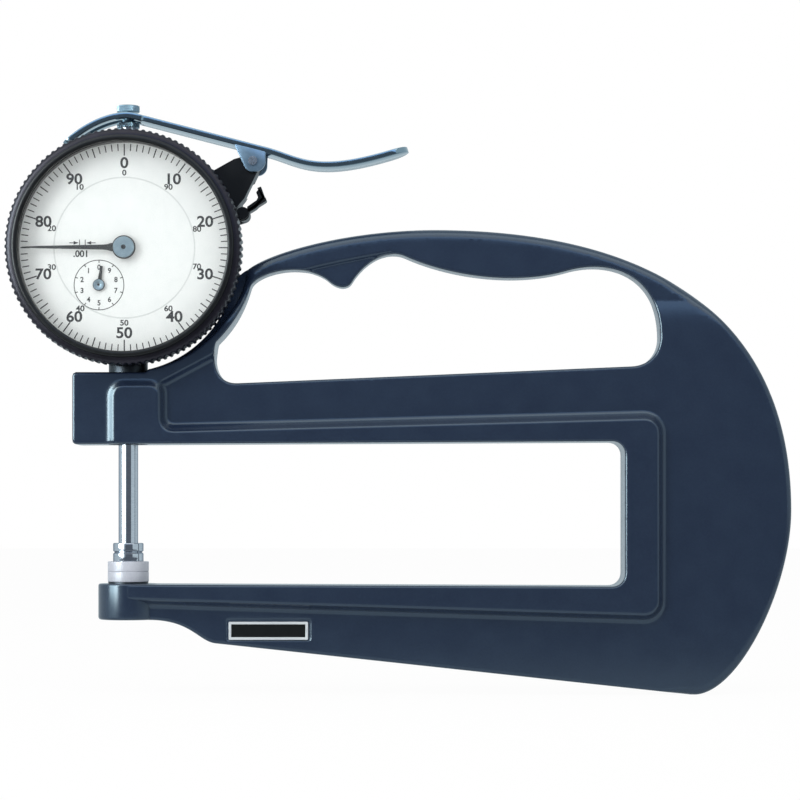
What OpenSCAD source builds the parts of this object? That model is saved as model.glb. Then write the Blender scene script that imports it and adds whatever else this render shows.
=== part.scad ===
// Dial thickness gauge: a cast deep-throat frame with a pistol grip, a flat anvil on the lower jaw
// and a dial indicator on the upper jaw, whose spindle is lifted by a thumb lever.
// X runs along the jaws, Y points away from the reader of the dial, Z is up.
// The origin is the middle of the anvil's measuring face, on the spindle axis.

/* [Throat and jaws] */
// Depth of the throat, from the spindle axis to its end wall
throat_depth = 121; // [110:0.5:123]
// Height of the throat's ceiling above the measuring face
throat_top = 31; // [30:0.5:33]
// Depth of the throat's floor below the measuring face
throat_floor = 3; // [2.8:0.1:4]
// Radius of the throat's inner corners
throat_corner = 3; // [2:0.5:9]
// Full thickness of the raised rim round the throat
rim_t = 14.6; // [14.2:0.2:16]
// Width of the rim at the end of the throat
rim_w = 8.8; // [7:0.2:9]
// Radius of the round boss at the tip of the lower jaw
jaw_r = 7.3; // [7:0.1:8]
// Depth of the jaw boss's lower face below the measuring face
jaw_depth = 11.7; // [11:0.1:13]

/* [Frame] */
// Full thickness of the web
web_t = 9.2; // [8.6:0.2:11]
// Full thickness of the grip
grip_t = 7.8; // [7:0.2:8.4]
// Full thickness of the head block and of the rib round the dial
head_t = 13; // [12:0.2:14]
// Distance of the head block's left face from the spindle axis
head_left = 13; // [11:0.2:14]
// Height of the head block's top above the measuring face
head_top = 48.5; // [47.5:0.1:48.5]
// Height of the raised pad on the head above the measuring face
pad_top = 45.7; // [44:0.1:47]
// Height at which the thinner grip starts to swell into the web
grip_crease = 66; // [64:0.5:68]
// Height over which the grip swells into the web
grip_ramp = 7; // [4:0.5:9]
// Width of the plate on the lower arm
plate_w = 19.3; // [15:0.1:24]
// Height of the plate on the lower arm
plate_h = 4.4; // [3.5:0.1:5]
// Width of the rib round the dial
rib_w = 1.8; // [1.5:0.1:3.4]
// Full thickness of the finger rest under the grip
rest_t = 5.8; // [5:0.2:6.6]

/* [Measuring faces and spindle] */
// Diameter of the ceramic faces
face_d = 10; // [8:0.1:11]
// Thickness of each ceramic face
face_t = 2.5; // [2:0.1:2.6]
// Diameter of the spindle
spindle_d = 4.76; // [4.6:0.02:4.9]
// Diameter of the steel collar above the upper face
collar_d = 7.4; // [6.5:0.1:8.5]
// Height of the collar
collar_h = 4.5; // [4:0.1:5.5]
// Diameter of the indicator's stem
stem_d = 9.525; // [9:0.025:10]
// Height of the stem's lower end above the measuring face
stem_bottom = 34; // [33:0.5:37]
// Travel of the spindle over its whole measuring range
travel = 25.4; // [20:0.1:25.4]

/* [Dial indicator] */
// Height of the dial's centre above the measuring face
dial_z = 78.3; // [78:0.1:79]
// Diameter of the bezel's opening
window_d = 50.4; // [47:0.1:54]
// Width of the bezel's lip over the crystal
bezel_lip = 1.2; // [1:0.05:1.4]
// Thickness of the bezel's ring round its bore, over the knurl
bezel_wall = 2.1; // [1.9:0.05:2.4]
// Number of ridges round the bezel
bezel_ridges = 108; // [80:1:120]
// Step from the bezel's bore out to the case behind it
case_step = 0.6; // [0.5:0.05:0.9]
// Diameter of the fixed disc in the middle of the dial
disc_d = 34; // [32:0.2:36]
// Distance of the dial's face in front of the spindle axis
dial_y = 9.6; // [9.4:0.1:10]
// Distance of the back cover's outer face behind the spindle axis
cover_y = 7.1; // [7:0.1:7.2]

/* [Gear train] */
// Teeth of the pinion that the spindle's rack turns
rack_teeth = 32; // [30:1:34]
// Teeth of the wheel on the same arbor
wheel_teeth = 80; // [70:1:90]
// Teeth of the pinion on the pointer's arbor
pinion_teeth = 8; // [7:1:9]
// Teeth of the take-up wheel
takeup_teeth = 64; // [56:1:68]
// Distance of the counter's arbor below the dial's centre
counter_drop = 9; // [8.6:0.1:9.4]
// Diameter of the thin arbors
arbor_d = 1.2; // [1:0.05:1.2]

/* [Lift lever] */
// Distance of the lever's pivot outside the case
pivot_out = 10.54; // [10.2:0.02:11]
// Direction of the lever's pivot from the dial's centre, in degrees above the level
pivot_dir = 35.13; // [34.5:0.01:35.8]
// Thickness of the lever's plate
lever_t = 1.4; // [1:0.1:1.5]
// Width of the lever
lever_w = 10; // [9:0.2:11]
// Width of the slot between the lever's prongs
fork_gap = 3.4; // [3.2:0.1:4]
// Diameter of the lift cap's flanges
cap_d = 5.6; // [5.2:0.1:6]
// Diameter of the lift cap's waist
waist_d = 2.7; // [2.4:0.1:2.9]
// Height of the lift cap's waist
waist_h = 2.5; // [2.4:0.1:2.8]
// Gap between the top of the bezel and the lift cap
cap_gap = 1.6; // [1.4:0.1:1.8]

/* [Hidden] */

// True circles carry this many sides in the preview
$fn = 96;
// Radial clearance of a shaft in its bearing
run_fit = 0.05;
// Radial clearance of a fixed pin in its hole
seat_fit = 0.02;
// Length by which a cut runs past the face that it opens
over = 1;

// Outline points on a curve
curve_steps = 20;
// The throat's floor and the rim's lower edge fall a little towards the throat's end
floor_fall = 0.5;
// Rise of the throat's ceiling towards its end
ceiling_rise = 0.7;
rim_low_start = 4.2;
rim_low_end = 8.2;
rim_high_start = 3.7;
rim_high_end = 6.9;
rim_corner = 4;
pad_left = 3.6;
pad_right = 8.6;
pad_corner = 3;
// Gap between the bezel or the case and the frame behind them
dial_gap = 1.1;
case_gap = 0.6;
// Way that the seat behind the dial is moved, so that its gap widens downwards
gap_drop = [-0.9, -2.1];
bezel_bore = window_d + 2 * bezel_lip;
bezel_r = bezel_bore / 2 + bezel_wall;
case_r = bezel_bore / 2 + case_step;
rib_outer_r = bezel_r + dial_gap + rib_w;
stem_r = stem_d / 2;
spindle_r = spindle_d / 2;
face_r = face_d / 2;
seat_t = 0.4;
seat_pin_r = 2.5;
seat_pin_l = 6.5;
set_screw_r = 2;
set_screw_z = (throat_top + head_top) / 2;
plate_x = 34.5;
plate_z = -14.3;
plate_t = 0.6;
plate_recess = 0.3;

// Places along Y in the indicator, from the front to the back
lip_t = 1.2;
crystal_t = 1.5;
spacer_t = 2.8;
dial_t = 0.5;
retainer_t = 0.7;
crystal_back = -dial_y - spacer_t;
crystal_front = crystal_back - crystal_t;
bezel_front = crystal_front - lip_t;
dial_back = -dial_y + dial_t;
retainer_back = dial_back + retainer_t;
case_front = retainer_back + 0.2;
bezel_back = -stem_r - 0.2375;
shoulder = bezel_back + 0.2;
gasket_t = 0.3;
cover_t = 1.3;
case_back = cover_y - cover_t - gasket_t;
plate_front = case_front + 0.2;
movement_t = 1;
plate_back = plate_front + movement_t;
wheel_front = -5.6;
wheel_t = 0.8;
bridge_front = -4;
bridge_t = 1;
rear_front = 3.2;
rear_t = 1.2;
hand_t = 0.25;
counter_hand_y = -dial_y - 0.6;
pointer_y = -dial_y - 1.5;
case_wall = 2.3;
case_in = case_r - case_wall;
spigot_r = bezel_bore / 2 - run_fit;
spigot_in = spigot_r - 1.6;
plate_r = spigot_in - 0.15;
ledge_in = plate_r - 2.4;
ring_r = bezel_bore / 2 - seat_fit;
wire_r = 0.35;
wire_y = (case_front + bezel_back) / 2;
groove_h = 2 * wire_r + 0.1;

// The counter's arbor carries the wheel and the rack pinion: one turn for one inch of travel
rack_pitch = 25.4 / rack_teeth;
rack_m = rack_pitch / PI;
rack_r = rack_teeth * rack_m / 2;
rack_depth = 0.3225;
rack_line = rack_depth - spindle_r;
counter_x = rack_r - rack_line;
counter_pos = [-counter_x, -counter_drop];
counter_dist = norm(counter_pos);
counter_dir = atan2(counter_drop, counter_x);
gear_m = 2 * counter_dist / (wheel_teeth + pinion_teeth);
takeup_dist = gear_m * (takeup_teeth + pinion_teeth) / 2;
takeup_dir = 36;
takeup_pos = takeup_dist * [cos(takeup_dir), sin(takeup_dir)];
arbor_r = arbor_d / 2;
pivot_r = 0.35;
pinion_phase = counter_dir + 180 + 180 / pinion_teeth;
takeup_phase = takeup_dir + 180 + 180 / takeup_teeth
    - (pinion_phase - takeup_dir) * pinion_teeth / takeup_teeth;
// Directions of the two hands at rest, clockwise from the top of the dial
pointer_rest = 270;
counter_rest = 9;

// Pillars and screws of the movement, measured from the dial's centre
bridge_ends = case_in * [[-0.567, 0.162], [0.567, -0.162]];
rear_posts = case_in * [[-0.607, 0.324], [0.607, -0.364], [-0.243, 0.668]];
plate_screw_r = plate_r - 1.5;
plate_screw_dirs = [60, 180, 300];
cover_screw_r = case_in - 3.1;
cover_screw_dirs = [45, 135, 225, 315];
pillar_r = 1.5;
screw_r = 0.8;
head_r = 1.4;
head_h = 0.8;

// The spindle's pins and spring
guide_z = dial_z - 8.4;
guide_r = 0.8;
spring_x = 4.5;
post_r = 0.8;
spring_post_z = dial_z - sqrt(pow(ledge_in - post_r - 0.3, 2) - pow(spring_x, 2));
spring_coil_r = 1;
spring_wire_r = 0.2;
spring_turns = 14;
hook_r = 0.6;

// Guides of the spindle in the case
bush_r = 3.2;
bush_l = 8;
bush_top = dial_z + bezel_r - 0.5;
stem_top = dial_z - case_in + 1.6;

// Feet of the centre dial, and the hairspring
feet = case_in * [[0.445, 0.324], [-0.445, 0.324]];
foot_r = 0.7;
hair_y = -3.7;
hair_w = 0.6;
hair_in = 1.1;
hair_out = 3.6;
hair_turns = 5;

// Lift cap and lever
pivot_x = (case_r + pivot_out) * cos(pivot_dir);
pivot_z = dial_z + (case_r + pivot_out) * sin(pivot_dir);
cap_z = dial_z + bezel_r + cap_gap;
flange_h = 1.4;
cap_crown_h = 1.7;
waist_low = cap_z + flange_h;
waist_mid = waist_low + waist_h / 2;
lever_rise = waist_mid - pivot_z;
ear_t = 1.2;
ear_gap = 0.2;
lug_w = lever_w - 2 * (ear_t + ear_gap);
lever_pin_r = 1.1;
lever_eye_r = 2.4;
fork_end = 41;
fork_start = -14.5;
bracket_screw_dirs = [27, 37];
bracket_y = 2.6;
clamp_dir = 17.33;
clamp_x = (case_r + 2.54) * cos(clamp_dir);
clamp_z = dial_z + (case_r + 2.54) * sin(clamp_dir);
clamp_w = 4.2;
clamp_front = bezel_back + 0.9;
clamp_t = 1;
clamp_eye_r = 1.7;
clamp_pin_r = 0.8;
clamp_lug_t = 1.6;

// Points of a cubic curve from p0 to p3 that leaves towards p1 and arrives from p2
function curve(p0, p1, p2, p3, n = curve_steps) = [for (i = [0:n - 1])
    let (t = i / n, u = 1 - t)
    u * u * u * p0 + 3 * u * u * t * p1 + 3 * u * t * t * p2 + t * t * t * p3];

// Points of an arc of radius r about c, from direction a to direction b
function arc(c, r, a, b, n = curve_steps) = [for (i = [0:n])
    c + r * [cos(a + (b - a) * i / n), sin(a + (b - a) * i / n)]];

// Place at distance r from the dial's centre in direction a
function at(r, a) = [r * cos(a), dial_z + r * sin(a)];

// Points of a square-cornered polygon's fillet: corner p between its neighbours a and b
function fillet(a, p, b, r) =
    let (u = (a - p) / norm(a - p), v = (b - p) / norm(b - p))
    let (half = acos(u * v) / 2, m = (u + v) / norm(u + v))
    let (c = p + m * r / sin(half), q = p + u * r / tan(half) - c, s = p + v * r / tan(half) - c)
    let (start = atan2(q[1], q[0]), turn = atan2(q[0] * s[1] - q[1] * s[0], q * s))
    arc(c, r, start, start + turn, 6);

// Outline of a polygon whose points [x, y, r] are rounded with radius r
function rounded(pts) = [for (i = [0:len(pts) - 1])
    let (n = len(pts), p = pts[i], a = pts[(i + n - 1) % n], b = pts[(i + 1) % n])
    each p[2] == 0 ? [[p[0], p[1]]]
        : fillet([a[0], a[1]], [p[0], p[1]], [b[0], b[1]], p[2])];

// Outline of a gear: teeth with straight flanks, the first one in direction phase
function gear(n, tip_r, root_r, tip_share, root_share, phase) = [for (i = [0:n - 1])
    let (a = phase + 360 * i / n, tip = 180 * tip_share / n, root = 180 * root_share / n)
    each [root_r * [cos(a - root), sin(a - root)], tip_r * [cos(a - tip), sin(a - tip)],
        tip_r * [cos(a + tip), sin(a + tip)], root_r * [cos(a + root), sin(a + root)]]];

// Outline of a strip of thickness t along a path of points
function strip(path, t) =
    let (n = len(path) - 1)
    let (side = [for (i = [0:n])
        let (d = path[min(i + 1, n)] - path[max(i - 1, 0)])
        [-d[1], d[0]] / norm(d) * t / 2])
    concat([for (i = [0:n]) path[i] + side[i]], [for (i = [n:-1:0]) path[i] - side[i]]);

// Solid of a flat drawing in X and Z, between two places along Y
module slab(y0, y1) {
    translate([0, y1, 0]) rotate([90, 0, 0]) linear_extrude(y1 - y0) children();
}

// The same, with the drawing's origin at the dial's centre
module dial_slab(y0, y1) {
    translate([0, 0, dial_z]) slab(y0, y1) children();
}

// Washer about the dial's centre
module washer(r_in, r_out, y0, y1) {
    dial_slab(y0, y1) difference() {
        circle(r_out);
        circle(r_in);
    }
}

// Pin along Y at a place measured from the dial's centre
module dial_pin(pos, r, y0, y1) {
    dial_slab(y0, y1) translate(pos) circle(r);
}

// Solid of revolution about the dial's axis, from points [radius, y]
module turned(profile) {
    translate([0, 0, dial_z]) rotate([90, 0, 0]) rotate_extrude()
        polygon([for (p = profile) [p[0], -p[1]]]);
}

// Tube or rod along Z on the spindle axis
module rod(r_in, r_out, z0, z1) {
    translate([0, 0, z0]) difference() {
        cylinder(r = r_out, h = z1 - z0);
        if (r_in > 0) translate([0, 0, -over]) cylinder(r = r_in, h = z1 - z0 + 2 * over);
    }
}

// Side view of the casting: grip, round back, lower arm and jaw tip
module frame_outline() {
    back_x = throat_depth + 40.8;
    polygon(concat(
        curve([28.2, 72.4], [30.5, 76.8], [52, 83.4], [75, 83.4]),
        curve([75, 83.4], [126, 83.4], [back_x, 64], [back_x, 15]),
        curve([back_x, 15], [back_x, -4], [148.6, -31], [137.4, -29.9]),
        [[137.4, -29.9]],
        curve([21.6, -17.4], [17.6, -17], [15.6, -jaw_depth], [5.5, -jaw_depth]),
        [[5.5, -jaw_depth], [0, -jaw_depth], [0, -throat_floor], [9, 34], [9, 46], [22, 54]]));
}

// Opening of the pistol grip: a finger rest in front, then the hollow and the belly of the palm
module grip_opening() {
    start = -46;
    stop = -16.5;
    dial = [0, dial_z];
    polygon(concat(
        curve([27, 45.9], [22.6, 45.7], [20.4, 49.5], dial + rib_outer_r * [cos(start), sin(start)]),
        arc(dial, rib_outer_r, start, stop, 6),
        curve([30.1, 69.4], [31.2, 72.6], [42.5, 76], [49, 71], 8),
        curve([49, 71], [50.6, 69.4], [53.2, 68.6], [54.6, 70.3], 4),
        curve([54.6, 70.3], [56.4, 73.4], [59.6, 76.4], [63, 77.1], 6),
        curve([63, 77.1], [64.6, 77.6], [66.2, 77.5], [67.8, 76.8], 4),
        curve([67.8, 76.8], [78, 72.2], [94, 69.6], [106.9, 73.2]),
        curve([106.9, 73.2], [117.6, 76.4], [129.8, 72.6], [129.8, 57.2]),
        curve([129.8, 57.2], [129.8, 53], [126.8, 50.2], [123, 50], 6),
        [[123, 50]]));
}

// Finger rest that hangs below the grip, thinner than the grip itself
module rest_outline() {
    polygon(concat(curve([41, 72.6], [46, 74.4], [58, 76.6], [64, 77.6]),
        [[64, 77.6], [66, 62], [41, 62]]));
}

// Throat between the jaws, open to the left
module throat_opening() {
    left = -head_left - over;
    polygon(rounded([
        [left, -throat_floor, 0],
        [left, throat_top, 0],
        [throat_depth, throat_top + ceiling_rise, throat_corner],
        [throat_depth, -throat_floor - floor_fall, throat_corner]]));
}

// Raised rim round the throat and the pad that it runs into on the head
module rim_outline() {
    end = throat_depth + rim_w;
    high = throat_top + rim_high_end;
    low = -throat_floor - rim_low_end;
    polygon(rounded([
        [-pad_left, throat_top - over, 0],
        [-pad_left, pad_top, pad_corner],
        [pad_right, pad_top, pad_corner],
        [pad_right, throat_top + rim_high_start, pad_corner],
        [end, high, rim_corner],
        [end, low, rim_corner],
        [0, -throat_floor - rim_low_start, 0],
        [0, -throat_floor, 0],
        [throat_depth - throat_corner, 0, 0],
        [throat_depth - throat_corner, throat_top - over, 0]]));
}

// Head block and the rib that runs round the dial into the grip
module head_outline() {
    dial = [0, dial_z];
    polygon(concat(
        [[-head_left, throat_top], [pad_right, throat_top], [pad_right, pad_top]],
        [[20.7, 52.1]],
        arc(dial, rib_outer_r, -46, -16.5, 6),
        [[31.5, 73.2], [28.2, 72], [5, dial_z], [5, head_top], [-head_left, head_top]]));
}

// Thickness of the casting seen along X: the web below, swelling out of the thinner grip
module swell_profile() {
    low = -60;
    high = 120;
    polygon([[-web_t / 2, low], [web_t / 2, low], [web_t / 2, grip_crease - grip_ramp],
        [grip_t / 2, grip_crease], [grip_t / 2, high], [-grip_t / 2, high],
        [-grip_t / 2, grip_crease], [-web_t / 2, grip_crease - grip_ramp]]);
}

module frame() {
    color([0.2, 0.25, 0.34]) difference() {
        union() {
            intersection() {
                slab(-web_t / 2, web_t / 2) difference() {
                    frame_outline();
                    grip_opening();
                }
                translate([-50, 0, 0]) rotate([90, 0, 90]) linear_extrude(300) swell_profile();
            }
            slab(-head_t / 2, head_t / 2) head_outline();
            slab(-rim_t / 2, rim_t / 2) rim_outline();
            rod(0, jaw_r, -jaw_depth, -face_t - seat_t);
        }
        slab(-rim_t, rim_t) difference() {
            throat_opening();
            translate([-jaw_r, -throat_floor - 1]) square([2 * jaw_r, throat_floor + 1 - face_t - seat_t]);
        }
        slab(-rim_t, -rest_t / 2) rest_outline();
        slab(rest_t / 2, rim_t) rest_outline();
        dial_slab(-rim_t, bezel_back + 1) circle(bezel_r + dial_gap);
        dial_slab(-rim_t, rim_t) circle(case_r + case_gap);
        dial_slab(-rim_t, rim_t) translate(gap_drop) circle(case_r + case_gap);
        rod(0, stem_r + run_fit, throat_top - over, dial_z);
        translate([0, 0, set_screw_z]) slab(0, rim_t) circle(set_screw_r + seat_fit);
        rod(0, seat_pin_r + seat_fit, -face_t - seat_t - seat_pin_l, 0);
        slab(-web_t, -web_t / 2 + plate_recess) translate([plate_x, plate_z])
            square([plate_w + 0.4, plate_h + 0.4], center = true);
    }
}

module nameplate() {
    face = -web_t / 2 + plate_recess;
    color([0.12, 0.12, 0.13]) slab(face - plate_t, face) translate([plate_x, plate_z])
        square([plate_w, plate_h], center = true);
}

module anvil_seat() {
    top = -face_t;
    color([0.45, 0.47, 0.5]) union() {
        rod(0, face_r - 0.1, top - seat_t, top);
        rod(0, seat_pin_r, top - seat_t - seat_pin_l, top - seat_t);
    }
}

module anvil_disc() {
    color([0.95, 0.95, 0.97]) rod(0, face_r, -face_t, 0);
}

module stem_set_screw() {
    socket = 1.1;
    depth = 1.5;
    color([0.25, 0.25, 0.27]) translate([0, 0, set_screw_z]) difference() {
        slab(stem_r, rim_t / 2 - 0.4) circle(set_screw_r);
        slab(rim_t / 2 - 0.4 - depth, rim_t) circle(socket, $fn = 6);
    }
}

// Fixed body of the indicator: an open drum with a front spigot for the bezel
module case() {
    lug_y = clamp_front + clamp_w + 0.2;
    color([0.16, 0.16, 0.17]) difference() {
        union() {
            turned([[case_in, case_back], [case_r, case_back], [case_r, shoulder],
                [spigot_r, shoulder], [spigot_r, case_front], [spigot_in, case_front],
                [spigot_in, plate_back], [ledge_in, plate_back], [ledge_in, plate_back + 1],
                [case_in, plate_back + 1]]);
            for (a = cover_screw_dirs) intersection() {
                dial_pin(cover_screw_r * [cos(a), sin(a)], 3.2, 0, case_back);
                washer(0, case_r - 0.5, 0, case_back);
            }
            slab(lug_y, lug_y + clamp_lug_t) difference() {
                union() {
                    translate([clamp_x, clamp_z]) circle(clamp_eye_r);
                    translate([0, dial_z]) rotate(clamp_dir) translate([case_in, -clamp_eye_r])
                        square([norm([clamp_x, clamp_z - dial_z]) - case_in, 2 * clamp_eye_r]);
                }
                translate([0, dial_z]) circle(case_r - 0.5);
            }
        }
        washer(spigot_r - wire_r - 0.1, spigot_r + over, wire_y - groove_h / 2, wire_y + groove_h / 2);
        rod(0, stem_r + seat_fit, stem_bottom, dial_z - case_in + 2);
        rod(0, bush_r + seat_fit, dial_z + case_in - 2, dial_z + case_r + over);
        slab(lug_y - over, lug_y + clamp_lug_t + over) translate([clamp_x, clamp_z])
            circle(clamp_pin_r + seat_fit);
        for (a = cover_screw_dirs)
            dial_pin(cover_screw_r * [cos(a), sin(a)], screw_r + seat_fit, case_back - 4, case_back + over);
        for (a = plate_screw_dirs)
            dial_pin(plate_screw_r * [cos(a), sin(a)], screw_r + seat_fit, plate_back - over, plate_back + 2);
        bracket_holes();
    }
}

module stem() {
    color([0.75, 0.76, 0.78])
        rod(spindle_r + 0.6, stem_r, stem_bottom, stem_top);
}

module stem_bush() {
    color([0.78, 0.6, 0.35])
        rod(spindle_r + run_fit, spindle_r + 0.6 - seat_fit, stem_bottom, stem_bottom + bush_l);
}

module upper_bush() {
    color([0.75, 0.76, 0.78])
        rod(spindle_r + run_fit, bush_r, dial_z + case_in - 0.4, bush_top);
}

module back_cover() {
    front = case_back + gasket_t;
    color([0.18, 0.18, 0.19]) difference() {
        washer(0, case_r - 0.3, front, cover_y);
        for (a = cover_screw_dirs) {
            dial_pin(cover_screw_r * [cos(a), sin(a)], screw_r + 0.1, front - over, cover_y + over);
            dial_pin(cover_screw_r * [cos(a), sin(a)], head_r + 0.1, cover_y - head_h, cover_y + over);
        }
    }
}

module cover_gasket() {
    color([0.1, 0.1, 0.1]) washer(case_in + 0.2, case_r - 0.3, case_back, case_back + gasket_t);
}

// Slotted screw along Y whose head's outer face is at y, with the thread towards dir
module screw(pos, y, dir, length) {
    slot_w = 0.35;
    color([0.72, 0.73, 0.75]) difference() {
        union() {
            dial_pin(pos, head_r, min(y, y + dir * head_h), max(y, y + dir * head_h));
            dial_pin(pos, screw_r, min(y + dir * head_h, y + dir * length), max(y + dir * head_h, y + dir * length));
        }
        dial_slab(min(y - dir * over, y + dir * 0.35), max(y - dir * over, y + dir * 0.35))
            translate(pos) square([3 * head_r, slot_w], center = true);
    }
}

module back_cover_screws() {
    for (a = cover_screw_dirs) screw(cover_screw_r * [cos(a), sin(a)], cover_y, -1, 4);
}

module plate_screws() {
    for (a = plate_screw_dirs)
        screw(plate_screw_r * [cos(a), sin(a)], plate_front - head_h + 0.65, 1, 2.4);
}

// Front plate of the movement, seated on the ledge inside the case
module movement_plate() {
    color([0.8, 0.68, 0.4]) difference() {
        washer(0, plate_r, plate_front, plate_back);
        for (pos = [[0, 0], counter_pos, takeup_pos])
            dial_pin(pos, arbor_r + run_fit, plate_front - over, plate_back + over);
        for (pos = concat(bridge_ends, rear_posts))
            dial_pin(pos, screw_r + seat_fit, plate_front - over, plate_back + over);
        for (a = plate_screw_dirs) {
            dial_pin(plate_screw_r * [cos(a), sin(a)], screw_r + 0.05, plate_front - over, plate_back + over);
            dial_pin(plate_screw_r * [cos(a), sin(a)], head_r + 0.05, plate_front - over, plate_front + 0.65);
        }
        for (pos = feet) dial_pin(pos, foot_r + seat_fit, plate_front - over, plate_back + over);
        dial_pin([spring_x, spring_post_z - dial_z], post_r + seat_fit, plate_front - over, plate_back + over);
    }
}

module dial_feet() {
    color([0.8, 0.68, 0.4]) for (pos = feet) {
        dial_pin(pos, 1.5, dial_back, plate_front);
        dial_pin(pos, foot_r, plate_front, plate_back);
    }
}

module centre_dial() {
    color([0.95, 0.95, 0.94]) difference() {
        washer(0, disc_d / 2, -dial_y, dial_back);
        for (pos = [[0, 0], counter_pos])
            dial_pin(pos, arbor_r + 0.3, -dial_y - over, dial_back + over);
    }
}

module scale_ring() {
    color([0.96, 0.96, 0.95]) washer(disc_d / 2 + 0.12, ring_r, -dial_y, dial_back);
}

module scale_retainer() {
    color([0.3, 0.3, 0.32]) washer(ring_r - 1.2, ring_r, dial_back, retainer_back);
}

module crystal_ring() {
    color([0.2, 0.2, 0.22]) washer(window_d / 2 + 0.1, ring_r, crystal_back, -dial_y);
}

module crystal() {
    color([0.9, 0.95, 0.97, 0.25]) washer(0, ring_r, crystal_front, crystal_back);
}

// Knurled bezel with a front lip; its bore takes the crystal and the scale and turns on the case
module bezel() {
    knurl_front = crystal_front + 0.6;
    knurl_depth = 0.45;
    lip_r = bezel_r - 1.9;
    color([0.14, 0.12, 0.13]) difference() {
        union() {
            dial_slab(knurl_front, bezel_back - 0.5)
                polygon(gear(bezel_ridges, bezel_r, bezel_r - knurl_depth, 0.5, 0.94, 90));
            turned([[0, bezel_back], [bezel_r - knurl_depth, bezel_back],
                [bezel_r - knurl_depth, knurl_front - 0.3], [lip_r, crystal_front],
                [lip_r, bezel_front + 0.3], [lip_r - 0.4, bezel_front], [0, bezel_front]]);
        }
        dial_slab(bezel_front - over, bezel_back + over) circle(window_d / 2);
        dial_slab(crystal_front, bezel_back + over) circle(bezel_bore / 2);
        washer(0, bezel_bore / 2 + wire_r + 0.1, wire_y - groove_h / 2, wire_y + groove_h / 2);
    }
}

// Open wire ring in the grooves of the bezel and the case, which keeps the bezel on
module bezel_wire() {
    color([0.7, 0.7, 0.72]) translate([0, wire_y, dial_z]) rotate([90, 0, 0])
        rotate_extrude(angle = 340) translate([(bezel_bore / 2 + spigot_r) / 2, 0]) circle(wire_r);
}

// Bar across the middle of the movement, behind the pointer's arbor
module movement_bridge() {
    a = bridge_ends[0];
    b = bridge_ends[1];
    color([0.8, 0.68, 0.4]) difference() {
        dial_slab(bridge_front, bridge_front + bridge_t) union() {
            for (pos = bridge_ends) translate(pos) circle(2.4);
            rotate(atan2(b[1] - a[1], b[0] - a[0])) square([norm(b - a), 3.6], center = true);
        }
        dial_pin([0, 0], pivot_r + run_fit, bridge_front - over, bridge_front + bridge_t + over);
        for (pos = bridge_ends)
            dial_pin(pos, screw_r + seat_fit, bridge_front - over, bridge_front + bridge_t + over);
    }
}

// Pillar with tapped ends between two plates
module pillar(pos, y0, y1) {
    color([0.8, 0.68, 0.4]) difference() {
        dial_pin(pos, pillar_r, y0, y1);
        dial_pin(pos, screw_r + seat_fit, y0 - over, y1 + over);
    }
}

module bridge_pillars() {
    for (pos = bridge_ends) pillar(pos, plate_back, bridge_front);
}

module rear_pillars() {
    for (pos = rear_posts) pillar(pos, plate_back, rear_front);
}

module movement_screws() {
    short = 2.2;
    for (pos = concat(bridge_ends, rear_posts)) screw(pos, plate_front - head_h, 1, short + head_h);
    for (pos = bridge_ends) screw(pos, bridge_front + bridge_t + head_h, -1, short - 0.4 + head_h);
    for (pos = rear_posts) screw(pos, rear_front + rear_t + head_h, -1, short + head_h);
}

// Rear plate of the movement: carries two arbors and guides the spindle's pin in its slot
module rear_plate() {
    slot_low = guide_z - dial_z - guide_r - 0.6;
    slot_high = guide_z - dial_z + travel + guide_r + 0.6;
    slot_w = 2 * (guide_r + run_fit);
    y1 = rear_front + rear_t;
    color([0.8, 0.68, 0.4]) difference() {
        washer(0, case_in - 3.4, rear_front, y1);
        dial_slab(rear_front - over, y1 + over)
            translate([-slot_w / 2, slot_low]) square([slot_w, slot_high - slot_low]);
        for (pos = [counter_pos, takeup_pos])
            dial_pin(pos, pivot_r + run_fit, rear_front - over, y1 + over);
        for (pos = rear_posts) dial_pin(pos, screw_r + seat_fit, rear_front - over, y1 + over);
        for (a = cover_screw_dirs)
            dial_pin(cover_screw_r * [cos(a), sin(a)], 3.5, rear_front - over, y1 + over);
    }
}

module spring_post() {
    color([0.75, 0.76, 0.78])
        dial_pin([spring_x, spring_post_z - dial_z], post_r, plate_front, spring_coil_r + 0.6);
}

// Tension spring from the post up to the spindle's spring pin: a wire swept along a helix
module return_spring() {
    z0 = spring_post_z + post_r + spring_wire_r;
    z1 = guide_z - hook_r - spring_wire_r;
    sides = 6;
    per_turn = 12;
    rings = spring_turns * per_turn;
    pts = [for (i = [0:rings], j = [0:sides - 1])
        let (a = 360 * i / per_turn, b = 360 * j / sides, r = spring_coil_r + spring_wire_r * cos(b))
        [spring_x + r * cos(a), r * sin(a), z0 + (z1 - z0) * i / rings + spring_wire_r * sin(b)]];
    walls = [for (i = [0:rings - 1], j = [0:sides - 1])
        let (k = (j + 1) % sides)
        [i * sides + j, i * sides + k, (i + 1) * sides + k, (i + 1) * sides + j]];
    color([0.7, 0.71, 0.73]) polyhedron(pts, concat(walls,
        [[for (j = [sides - 1:-1:0]) j], [for (j = [0:sides - 1]) rings * sides + j]]), convexity = 10);
}

// Flat spiral that keeps the gear train pressed to one side of its teeth
module hairspring() {
    steps = 24 * hair_turns;
    path = [for (i = [0:steps])
        let (a = 360 * i / 24, r = hair_in + (hair_out - hair_in) * i / steps)
        takeup_pos + r * [cos(a), sin(a)]];
    color([0.35, 0.4, 0.6]) dial_slab(hair_y, hair_y + hair_w) polygon(strip(path, 0.12));
}

module hairspring_stud() {
    pos = takeup_pos + [hair_out + 0.66, 0];
    color([0.8, 0.68, 0.4]) dial_pin(pos, 0.5, hair_y, rear_front);
}

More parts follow.
